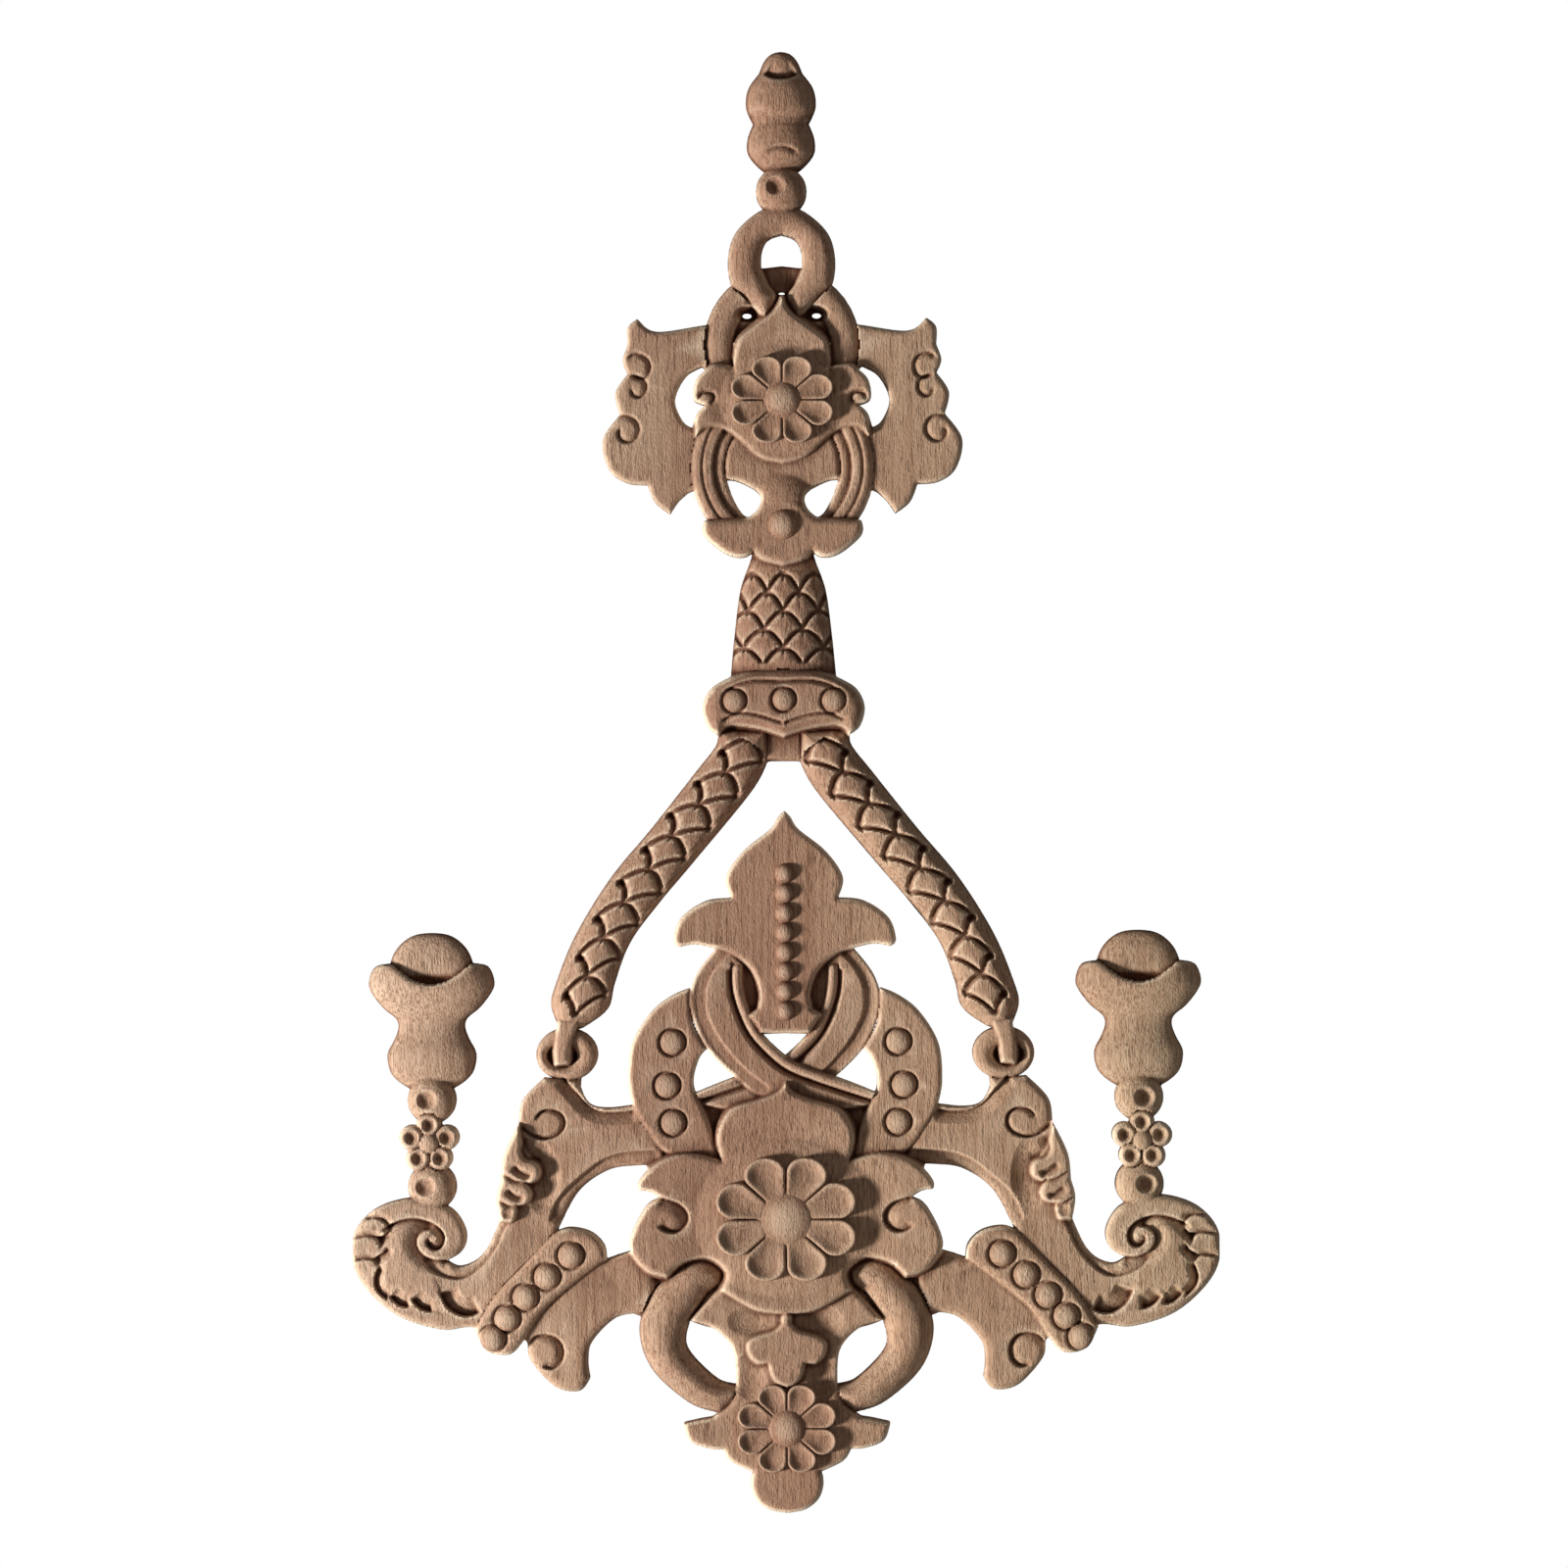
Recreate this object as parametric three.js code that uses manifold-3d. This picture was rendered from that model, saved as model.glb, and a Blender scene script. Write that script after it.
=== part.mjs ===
// A carved wooden applique in the shape of a chandelier: a flat-backed board, carved in relief on its
// front, with open gaps between its ropes, arms and scrolls.
//
// The carving is drawn flat and then stood up. In the drawing x runs outwards from the middle line and
// y upwards from the centre of the big rosette. A level is how far a surface stands in front of the back.
import * as THREE from "three";
import { mergeVertices } from "three/addons/utils/BufferGeometryUtils.js";
import Module from "manifold-3d";

const wasm = await Module();
wasm.setup();

// Overall height in millimetres. Sizes across the face are drawn between the top and the foot of the
// drawing and follow HEIGHT; the levels stay as they are.
const HEIGHT = 373;
const DRAWING_TOP = 297;
const DRAWING_FOOT = -76;
const DRAWING_SCALE = HEIGHT / (DRAWING_TOP - DRAWING_FOOT);

// Levels of the layers, from the lowest to the highest.
const BACK_RING_LEVEL = 6.5;
const LOOP_LEVEL = 7.5;
const BLOCK_LEVEL = 7;
const HOOK_LEVEL = 7.5;
const WING_LEVEL = 8;
const LOWER_WING_LEVEL = 8;
const STEM_LEVEL = 8.5;
const RING_LEVEL = 9;
const VOLUTE_LEVEL = 7;
const ARM_LEVEL = 8.5;
const STUD_PLATE_LEVEL = 9;
const STUD_BAR_LEVEL = 9.5;
const BAND_LEVEL = 8;
const ROPE_LEVEL = 9.5;
const NECK_LEVEL = 9.5;
const BUD_LEVEL = 9.5;
const FINIAL_LEVEL = 10;
const LOWER_BODY_LEVEL = 9.5;
const TUBE_LEVEL = 10.5;
const UPPER_MEDALLION_LEVEL = 10.5;
const FLEUR_LEVEL = 10.8;
const MOUSTACHE_LEVEL = 11;
const MEDALLION_LEVEL = 12;
const COLLAR_LEVEL = 12.5;

// How far the smaller ornaments stand above the layer that carries them.
const PETAL_RISE = 2;
const BUTTON_RISE = 3;
const STUD_RISE = 2;
const BEAD_RISE = 2.4;
const SCALE_RISE = 1;
const LOBE_RISE = 2;
const CURL_RISE = 1.2;
const RIB_RISE = 2;
const LEAF_RISE = 2.4;

// Radii of the turned-looking ornaments.
const TOP_BEAD_RADIUS = 6.5;
const CHAIN_BEAD_RADIUS = 6.2;
const DIMPLE_RADIUS = 2.4;
const DIMPLE_DEPTH = 2;
const STUD_RADIUS = 2.9;
const SMALL_STUD_RADIUS = 2.6;
const BEAD_RADIUS = 2.6;
const FLEUR_BEAD_PITCH = 5;
const SCALE_PITCH = 10.6;
const SCALE_WIDTH = 6;
const SCALE_LENGTH = 8;
const NECK_SCALE_PITCH = 9.6;

// Edges: the rounding of a layer's upper edge, of a roll, and of a rope. Across the face they follow
// HEIGHT with the drawing; in depth they stay as they are.
const EDGE = 1.2;
const FINE_EDGE = 0.8;
const ROLL_EDGE = 2.2;
const ROPE_EDGE = 3.2;
const ROPE_SLOPE = 4.6;
const FLATNESS = 0.6;
const FINE_STEP = 1;
const BURIED = 3;
const WOOD = 0xb79a80;

// Geometry helpers

const p = ([x, y]) => new THREE.Vector2(x * DRAWING_SCALE, y * DRAWING_SCALE);

// How far a point lies from the straight line between two others.
function offLine(point, from, to) {
  const along = to.clone().sub(from);
  return Math.abs(along.cross(point.clone().sub(from))) / along.length();
}

// Points along a smooth curve through the given ones: only as many as keep straight steps between
// them within the given distance of the curve.
function smooth(points, flatness = FLATNESS) {
  if (points.length < 3) return points.map(p);
  const curve = new THREE.SplineCurve(points.map(p));
  const steps = curve.getLength() / (FINE_STEP * DRAWING_SCALE);
  const fine = curve.getSpacedPoints(Math.ceil(steps));
  const kept = [fine[0]];
  let last = 0;
  for (let i = 2; i < fine.length; i++) {
    const between = fine.slice(last + 1, i);
    if (between.some((point) => offLine(point, fine[last], fine[i]) > flatness * DRAWING_SCALE)) {
      last = i - 1;
      kept.push(fine[last]);
    }
  }
  kept.push(fine[fine.length - 1]);
  return kept;
}

// An outline made of smooth stretches that meet in corners. Each stretch starts where the last ended.
function trace(stretches, flatness = FLATNESS) {
  const outline = [];
  let start = [];
  for (const stretch of stretches) {
    const points = smooth([...start, ...stretch], flatness);
    outline.push(...(outline.length ? points.slice(1) : points));
    start = [stretch[stretch.length - 1]];
  }
  return outline;
}

const mirrored = (points) => points.map(({ x, y }) => new THREE.Vector2(-x, y));

// A closed outline across the middle line, from its half that runs from the top point to the bottom one.
function across(stretches, flatness = FLATNESS) {
  const half = trace(stretches, flatness);
  return [...half, ...mirrored(half).reverse().slice(1, -1)];
}

function turned([x, y], angle) {
  return [x * Math.cos(angle) - y * Math.sin(angle), x * Math.sin(angle) + y * Math.cos(angle)];
}

// The two sides of a strip that follows a path, with its width at each point given from 0 to 1 along it.
function strip(path, widthAt, steps) {
  const curve = new THREE.SplineCurve(path.map(p));
  const left = [];
  const right = [];
  for (let i = 0; i <= steps; i++) {
    const t = i / steps;
    const at = curve.getPointAt(t);
    const along = curve.getTangentAt(t);
    const reach = (widthAt(t) / 2) * DRAWING_SCALE;
    const side = new THREE.Vector2(-along.y, along.x).multiplyScalar(reach);
    left.push(at.clone().add(side));
    right.push(at.clone().sub(side));
  }
  return [...left, ...right.reverse()];
}

// A closed three.js geometry as a solid that can be joined and cut.
function solid(geometry) {
  geometry.deleteAttribute("normal");
  geometry.deleteAttribute("uv");
  const merged = mergeVertices(geometry, 1e-4);
  const { array } = merged.index;
  const faces = [];
  for (let i = 0; i < array.length; i += 3) {
    const [a, b, c] = array.subarray(i, i + 3);
    if (a !== b && b !== c && c !== a) faces.push(a, b, c);
  }
  const mesh = new wasm.Mesh({
    numProp: 3,
    vertProperties: merged.attributes.position.array,
    triVerts: new Uint32Array(faces),
  });
  return new wasm.Manifold(mesh);
}

// A layer: its outline raised from below the back, or from a given level, with its upper edge rounded.
function layer(outline, level, { edge = EDGE, inset = edge, rounds = 1, from = -BURIED, holes = [] } = {}) {
  const anticlockwise = THREE.ShapeUtils.isClockWise(outline) ? [...outline].reverse() : outline;
  const shape = new THREE.Shape(anticlockwise);
  shape.holes = holes.map((hole) => new THREE.Path(hole));
  const geometry = new THREE.ExtrudeGeometry(shape, {
    depth: level - edge - from,
    bevelEnabled: edge > 0,
    bevelThickness: edge,
    bevelSize: inset * DRAWING_SCALE,
    bevelOffset: -inset * DRAWING_SCALE,
    bevelSegments: rounds,
    curveSegments: 1,
  });
  geometry.translate(0, 0, from);
  return solid(geometry);
}

// The same layer on the right and on the left.
const both = (outline, level, options = {}) => {
  const holes = options.holes ?? [];
  const other = { ...options, holes: holes.map(mirrored) };
  return [layer(outline, level, options), layer(mirrored(outline), level, other)];
};

// A round ornament from a profile of [radius, level] points, each level counted from its foot.
function round([x, y], profile, foot, sides = 10) {
  const points = profile.map(([r, h]) => new THREE.Vector2(r * DRAWING_SCALE, h));
  const geometry = new THREE.LatheGeometry(points, sides);
  geometry.rotateX(Math.PI / 2);
  const at = p([x, y]);
  geometry.translate(at.x, at.y, foot);
  return solid(geometry);
}

// A low dome, as a stud or a bead, sunk a little into what carries it.
function dome(at, radius, level, rise, sides = 7) {
  const profile = [
    [0, -rise],
    [radius, -rise],
    [radius, rise * 0.4],
    [0, rise],
  ];
  return round(at, profile, level, sides);
}

// A bead with a round hollow in its face.
function dimpled(at, dimple, radius, level, dimpleRadius = DIMPLE_RADIUS) {
  const edge = radius * 0.35;
  const ball = [
    [0, -level - BURIED],
    [radius, -level - BURIED],
    [radius, -edge],
    [radius * 0.7, 0],
    [0, 0],
  ];
  const hollow = [
    [0, -DIMPLE_DEPTH],
    [dimpleRadius, DIMPLE_DEPTH * 0.3],
    [0, DIMPLE_DEPTH],
  ];
  return round(at, ball, level, 11).subtract(round(dimple, hollow, level, 7));
}

// Things on both sides of the middle line, from one that is made for a given side.
const pair = (make) => [1, -1].flatMap((side) => make(side));

// The raised curl of a scroll, on the right and on the left.
const curls = ([x, y], radius, level) => pair((side) => [dome([side * x, y], radius, level, CURL_RISE)]);

// A flower: spoon-shaped petals with raised rims round a domed button.
const PETALS = 8;
function flower([x, y], [rx, ry], button, level) {
  const rim = [[0.3, 0], [0.8, -0.3], [0.96, -0.18], [0.96, 0.18], [0.8, 0.3]];
  const bowl = [[0.5, 0], [0.8, -0.18], [0.88, 0], [0.8, 0.18]];
  const pieces = [];
  for (let k = 0; k < PETALS; k++) {
    const angle = ((k + 0.5) / PETALS) * 2 * Math.PI;
    const place = (point) => {
      const [u, v] = turned(point, angle);
      return p([x + u * rx, y + v * ry]);
    };
    const petal = layer(rim.map(place), level + PETAL_RISE, { edge: 0, from: level - 1 });
    const hollow = layer(bowl.map(place), level + 2 * PETAL_RISE, { edge: 0, from: level - 2 });
    pieces.push(petal.subtract(hollow));
  }
  pieces.push(dome([x, y], button, level, BUTTON_RISE, 12));
  return pieces;
}

// A scale of a rope or the neck: a low four-sided point, half sunk in the roll and turned to its run.
function scale([x, y], heading, level) {
  const geometry = new THREE.ConeGeometry(1, 1, 4);
  geometry.rotateX(Math.PI / 2);
  geometry.scale(SCALE_WIDTH * DRAWING_SCALE, SCALE_LENGTH * DRAWING_SCALE, 2 * SCALE_RISE);
  geometry.rotateZ(heading);
  const at = p([x, y]);
  geometry.translate(at.x, at.y, level);
  return solid(geometry);
}

// Bud, bead, loop and ring at the top

const BUD = [
  [[0, DRAWING_TOP], [3.7, 294.7], [5.4, 291.4]],
  [[8.2, 287.8], [9, 284], [7.1, 278.6]],
  [[8.6, 274.5], [8.2, 270.5], [4, 266.2], [0, 265.5]],
];
const LOOP = [
  [[0, 258], [6, 256], [11.8, 250.6], [13.7, 244], [12.9, 237.5], [9.6, 234.2], [4.2, 228.5]],
  [[0, 226]],
];
const LOOP_HOLE = [[[0, 250.3], [3.6, 249], [5.4, 246], [5.3, 241.7]], [[0, 242.3]]];
const TOP_BEAD = [0, 261];
const BACK_RING_CENTRE = [0, 222.2];

function top() {
  const ring = [
    [12.5, -BACK_RING_LEVEL - BURIED],
    [19.9, -BACK_RING_LEVEL - BURIED],
    [19.9, -2],
    [16.2, 0],
    [12.5, -2],
    [12.5, -BACK_RING_LEVEL - BURIED],
  ];
  return [
    layer(across(BUD), BUD_LEVEL, { edge: ROLL_EDGE }),
    dimpled(TOP_BEAD, [-1.5, 262.2], TOP_BEAD_RADIUS, BUD_LEVEL + 1),
    layer(across(LOOP), LOOP_LEVEL, { edge: 1.8, holes: [across(LOOP_HOLE)] }),
    round(BACK_RING_CENTRE, ring, BACK_RING_LEVEL, 20),
  ];
}

// Wing plates beside the upper medallion

const WING = [
  [[5, 229], [19.6, 227.2], [32.1, 225.6], [36.9, 228.9]],
  [[39.4, 226.6], [39.4, 222.1]],
  [[40.7, 218.1], [39.4, 214.9]],
  [[42.6, 209.9], [41.5, 204.4]],
  [[45.9, 197.9], [44.3, 190.4], [39.8, 187.1], [34.5, 186.5]],
  [[32.6, 182], [28.8, 179]],
  [[26.8, 182], [24.3, 184.4]],
  [[12, 190]],
  [[5, 190]],
];
const CRESCENT = [
  [[19.5, 215.7], [20.4, 216.7]],
  [[24.6, 214.2], [27.4, 208.3], [25.4, 202.7], [23, 201]],
  [[21.7, 204.7], [19.5, 206.7]],
  [[22.6, 208.2], [22, 213], [19.5, 215.7]],
];
const WING_CURLS = [[36.7, 217, 3.2], [37.3, 211.2, 2.7], [40.3, 199.5, 4]];

function wings() {
  const gap = layer(trace(CRESCENT).slice(0, -1), WING_LEVEL + 1, { edge: 0 });
  const [right, left] = both(trace(WING), WING_LEVEL, { edge: FINE_EDGE });
  return [
    right.subtract(gap),
    left.subtract(gap.mirror([1, 0, 0])),
    ...WING_CURLS.flatMap(([x, y, r]) => curls([x, y], r, WING_LEVEL)),
  ];
}

// Upper medallion with its flower

const UPPER_MEDALLION = [
  [[0, 234], [2.4, 230.3], [6.6, 227.1], [11.3, 223], [12.5, 216.6]],
  [[17.2, 217.2], [19.5, 215.7]],
  [[22, 213], [22.6, 208.2], [19.5, 206.7]],
  [[22, 203.7], [22.1, 198.7]],
  [[18.7, 201.1], [13.5, 199.9], [6.1, 193.5], [0, 191.8]],
];
const UPPER_FLOWER = [0, 207.9];
const SMALL_FLOWER_RADII = [12.75, 11.2];
const SMALL_BUTTON_RADIUS = 4.6;

function upperMedallion() {
  return [
    layer(across(UPPER_MEDALLION), UPPER_MEDALLION_LEVEL, { edge: EDGE }),
    ...flower(UPPER_FLOWER, SMALL_FLOWER_RADII, SMALL_BUTTON_RADIUS, UPPER_MEDALLION_LEVEL),
  ];
}

// Lower ring, its stem and the moustache

const LOWER_RING_CENTRE = [0, 190.8];
const STEM = [
  [[0, 195], [15, 193]],
  [[17, 187.5]],
  [[12, 187.5], [6.8, 184.8], [5.7, 181.5], [8.8, 178]],
  [[8.8, 172]],
  [[0, 172]],
];
const MOUSTACHE = [
  [[0, 184], [5.2, 181.5]],
  [[8.8, 178.1], [14.5, 177.8], [20.1, 177.2]],
  [[20.3, 173.8], [16.1, 169.8], [8.3, 167.2], [6.6, 170]],
  [[4.6, 167], [0, 165.4]],
];
const MOUSTACHE_BEAD = [0, 176.5];

function lowerRing() {
  const ring = [
    [14.3, -RING_LEVEL - BURIED],
    [23.5, -RING_LEVEL - BURIED],
    [23.5, -2.2],
    [20.8, 0],
    [17.5, -1],
    [14.3, -4],
    [14.3, -RING_LEVEL - BURIED],
  ];
  return [
    round(LOWER_RING_CENTRE, ring, RING_LEVEL, 24),
    layer(across(STEM), STEM_LEVEL),
    layer(across(MOUSTACHE), MOUSTACHE_LEVEL),
    dome(MOUSTACHE_BEAD, SMALL_STUD_RADIUS, MOUSTACHE_LEVEL, BEAD_RISE),
  ];
}

// Scaly neck

const NECK = [[[0, 172], [7, 172]], [[8.3, 167], [10.9, 159.5], [12.5, 147.5], [13.6, 136]], [[0, 136]]];
const NECK_ROWS = 5;
const NECK_TOP_SCALE = 160;
const NECK_SCALE_OFFSET = 4.2;

function neck() {
  const pieces = [layer(across(NECK), NECK_LEVEL, { edge: ROPE_EDGE, inset: ROPE_SLOPE })];
  for (let row = 0; row < NECK_ROWS; row++) {
    const y = NECK_TOP_SCALE - (row * NECK_SCALE_PITCH) / 2;
    const columns = row % 2 ? [0] : [-NECK_SCALE_OFFSET, NECK_SCALE_OFFSET];
    pieces.push(...columns.map((x) => scale([x, y], 0, NECK_LEVEL)));
  }
  return pieces;
}

// Collar with three studs, and the block below it

const COLLAR = [
  [[0, 139.4], [8.7, 138.8], [13.7, 137.3]],
  [[18.5, 134.4], [20.7, 129.7], [19.5, 124.7], [16.7, 122.4]],
  [[13.7, 124.9], [6.2, 124], [0, 122]],
];
const COLLAR_STUD_X = 12.6;
const COLLAR_STUD_Y = 131.3;
const BLOCK = [[[0, 126], [3.75, 126]], [[3.75, 115.8]], [[0, 115.8]]];

function collar() {
  const studs = [-COLLAR_STUD_X, 0, COLLAR_STUD_X].map((x) => [x, COLLAR_STUD_Y]);
  return [
    layer(across(COLLAR), COLLAR_LEVEL, { edge: 1.6 }),
    layer(across(BLOCK), BLOCK_LEVEL),
    ...studs.map((at) => dome(at, SMALL_STUD_RADIUS, COLLAR_LEVEL, STUD_RISE)),
  ];
}

// Ropes: rolls covered with scales, each ending in a hook and ring

const ROPE_OUTER = [
  [
    [16.8, 122.1], [17.6, 119.4], [22.5, 113.2], [33.9, 98.8], [44.4, 86.2],
    [53.4, 71.7], [58.6, 59], [59.7, 53.6], [57.8, 48.2],
  ],
];
const ROPE_INNER = [
  [[51.5, 48]],
  [[45.3, 52.7], [43.4, 59.5], [39.5, 69.6], [32.2, 79.5], [22.7, 90.7], [8.3, 108.1], [4, 116]],
  [[4, 124]],
];
const ROPE_MIDDLE = [
  [12.2, 115.6], [20.6, 104.9], [28.3, 95.6], [34.4, 88.2],
  [40.6, 79.9], [46.3, 70.7], [50.6, 60.2], [52.6, 51],
];
const ROPE_SCALES = 7;
const ROPE_FIRST_SCALE = 6.5;
const HOOK = [[[51.8, 50], [54.9, 40]], [[59.2, 40]], [[58.2, 50]]];
const HOOK_RING = [55.7, 41.2];
const HOOK_RING_RADII = [7.9, 6.75];
const HOOK_HOLE = [56.9, 40.8];
const HOOK_HOLE_RADII = [4.1, 2.9];
const HOOK_FOOT = [[[52, 37]], [[52.4, 31]], [[58, 31]], [[58, 36]]];

function oval([x, y], [rx, ry], sides) {
  const points = [];
  for (let i = 0; i < sides; i++) {
    const angle = ((i + 0.3) / sides) * 2 * Math.PI;
    points.push(p([x + rx * Math.cos(angle), y + ry * Math.sin(angle)]));
  }
  return points;
}

function ropeScales(side) {
  const curve = new THREE.SplineCurve(ROPE_MIDDLE.map(([x, y]) => p([side * x, y])));
  const length = curve.getLength() / DRAWING_SCALE;
  const pieces = [];
  for (let row = 0; row < ROPE_SCALES; row++) {
    const t = (ROPE_FIRST_SCALE + row * SCALE_PITCH) / length;
    const at = curve.getPointAt(t).divideScalar(DRAWING_SCALE);
    const along = curve.getTangentAt(t);
    pieces.push(scale([at.x, at.y], Math.atan2(along.y, along.x) + Math.PI / 2, ROPE_LEVEL));
  }
  return pieces;
}

function ropes() {
  const outline = trace([...ROPE_OUTER, ...ROPE_INNER]);
  const hole = oval(HOOK_HOLE, HOOK_HOLE_RADII, 10);
  return [
    ...both(outline, ROPE_LEVEL, { edge: ROPE_EDGE, inset: ROPE_SLOPE }),
    ...pair(ropeScales),
    ...both(oval(HOOK_RING, HOOK_RING_RADII, 18), HOOK_LEVEL, { edge: 0.9, holes: [hole] }),
    ...both(trace(HOOK), HOOK_LEVEL - 1, { edge: 0 }),
    ...both(trace(HOOK_FOOT), HOOK_LEVEL - 1, { edge: 0 }),
  ];
}

// Fleur with its string of beads

const FLEUR = [
  [[0, 103.2], [3.6, 98.5], [10.6, 92.8], [14.9, 86.3], [13.7, 81]],
  [[20.2, 80.2], [26.5, 75.9], [28.4, 70.2], [26.9, 68.5]],
  [[22.7, 69.2], [17.7, 68.1]],
  [[13.9, 66.9], [8.7, 62.8], [6.5, 56.5], [7.8, 51.1]],
  [[6, 46.6]],
  [[0, 46.6]],
];
const FLEUR_BEADS = 8;
const FLEUR_TOP_BEAD = 87.2;

function fleur() {
  const pieces = [layer(across(FLEUR), FLEUR_LEVEL)];
  for (let i = 0; i < FLEUR_BEADS; i++) {
    const at = [0, FLEUR_TOP_BEAD - i * FLEUR_BEAD_PITCH];
    pieces.push(dome(at, BEAD_RADIUS, FLEUR_LEVEL, BEAD_RISE));
  }
  return pieces;
}

// Interlaced bands: the left one lies in front, the right one a little lower

const BAND = [
  [[17.7, 67.9], [23, 60.7], [24.2, 53], [19.8, 42.4], [9.2, 32.1]],
  [[0, 27]],
  [[-14, 25]],
  [[-22.8, 28.9]],
  [[-14.6, 35], [-3.4, 38.6], [5.4, 44], [9.7, 51], [10, 59], [9, 63.5]],
];
const BAND_RIDGE = [[13.3, 66.4], [18, 62.2], [20, 55.2], [18, 47.7], [12.8, 40.4], [3.4, 32.3]];
const BAND_RIB = [[11.3, 58], [9.8, 48.8], [4.6, 42], [-7.2, 35.7], [-22.8, 30.2]];
const BAND_DROP = 0.8;

function bands() {
  return pair((side) => {
    const level = side < 0 ? BAND_LEVEL : BAND_LEVEL - BAND_DROP;
    const turn = (points) => (side < 0 ? mirrored(points) : points);
    return [
      layer(turn(trace(BAND)), level - 0.5, { edge: EDGE }),
      layer(turn(strip(BAND_RIDGE, () => 3.6, 9)), level + RIB_RISE, { edge: 0.8, from: level - 3 }),
      layer(turn(strip(BAND_RIB, () => 2.5, 8)), level + 1, { edge: 0, from: level - 3 }),
    ];
  });
}

// Plates with three studs beside the bands

const STUD_PLATE = [
  [[24.3, 58], [29, 56], [34.3, 51.8], [39.1, 43.8], [40, 34], [38.6, 27]],
  [[36.9, 24], [33.2, 18.5], [29.7, 15.5]],
  [[16.7, 14.4]],
  [[20, 25], [23.4, 33], [22.1, 39.7], [20, 42.5]],
  [[23.5, 49], [24.3, 58]],
];
const PLATE_STUDS = [[28.8, 44.2], [30.2, 33.2], [28.7, 23.7]];

function studPlates() {
  return [
    ...both(trace(STUD_PLATE).slice(0, -1), STUD_PLATE_LEVEL),
    ...PLATE_STUDS.flatMap(([x, y]) =>
      [x, -x].map((at) => dome([at, y], STUD_RADIUS, STUD_PLATE_LEVEL, STUD_RISE)),
    ),
  ];
}

// Main medallion with the big flower

const MEDALLION = [
  [[0, 34], [2.1, 31.5], [6.6, 29.6], [14, 27.1], [17.4, 20.6], [16.4, 14.1]],
  [[24.2, 15.9], [32.4, 13.8], [38, 7.3]],
  [[35.5, 6.3], [32, 4.5]],
  [[36, 2], [40, -7.2], [36, -13.7], [30.5, -15.5]],
  [[26.5, -12], [20, -10.8], [15.4, -14.5], [16.5, -19.1]],
  [[8.1, -23.9], [0, -25.2]],
];
const MAIN_FLOWER = [0, -0.75];
const MAIN_FLOWER_RADII = [17.9, 15.6];
const MAIN_BUTTON_RADIUS = 6.6;
const MEDALLION_CURL = [29.3, 0];
const MEDALLION_CURL_RADIUS = 4.2;

function medallion() {
  return [
    layer(across(MEDALLION), MEDALLION_LEVEL, { edge: 1.4 }),
    ...flower(MAIN_FLOWER, MAIN_FLOWER_RADII, MAIN_BUTTON_RADIUS, MEDALLION_LEVEL),
    ...curls(MEDALLION_CURL, MEDALLION_CURL_RADIUS, MEDALLION_LEVEL),
  ];
}

// Arms: from the medallion out to the acanthus and down to the volute

const ARM = [
  [[30, 12.8], [37.9, 12.8], [45.4, 11.6], [52.9, 6.2], [58.2, -3.5]],
  [[52, -12]],
  [[66.8, -31.4]],
  [[79.7, -28.3]],
  [[84, -14]],
  [[79.2, -11.3], [76, -7.6], [73, -1]],
  [[73.8, 4.4], [72.7, 8.9]],
  [[71.9, 15.6], [68.1, 23.6]],
  [[67.1, 29.6], [61.6, 35.3]],
  [[52.9, 34.4]],
  [[50.4, 28.9], [45.4, 27.5], [36, 28.6]],
];
const ARM_UPPER_MOULDING = [[54.4, 33], [50.8, 27.2], [46, 26], [38, 26.8]];
const ARM_LOWER_MOULDING = [[53.6, 8.7], [57.6, 3.4], [59.6, -3.4]];
const ARM_CURL = [60.3, 23.6];
const ARM_CURL_RADIUS = 4;
const ACANTHUS = [
  [[[70, 20.5], [67.2, 15], [62.6, 11.8], [66, 8.2]], [[71.5, 10.5]], [[70, 20.5]]],
  [[[72, 9], [65.2, 7.4], [65, 4], [68.4, 2.6]], [[73, 3.4]], [[72, 9]]],
  [[[72.6, 3], [68.4, 2.4], [69, -0.6], [72.6, -1]], [[72.6, 3]]],
];

function arms() {
  return [
    ...both(trace(ARM), ARM_LEVEL),
    ...both(strip(ARM_UPPER_MOULDING, () => 2.4, 5), ARM_LEVEL + 1, { edge: 0, from: ARM_LEVEL - 3 }),
    ...both(strip(ARM_LOWER_MOULDING, () => 2.6, 4), ARM_LEVEL + 1, { edge: 0, from: ARM_LEVEL - 3 }),
    ...curls(ARM_CURL, ARM_CURL_RADIUS, ARM_LEVEL),
    ...ACANTHUS.flatMap((lobe) =>
      both(trace(lobe).slice(0, -1), ARM_LEVEL + LOBE_RISE, { edge: 0, from: ARM_LEVEL - 3 }),
    ),
  ];
}

// Volutes at the outer ends, with a rolled scroll and a lobed leaf edge

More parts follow.
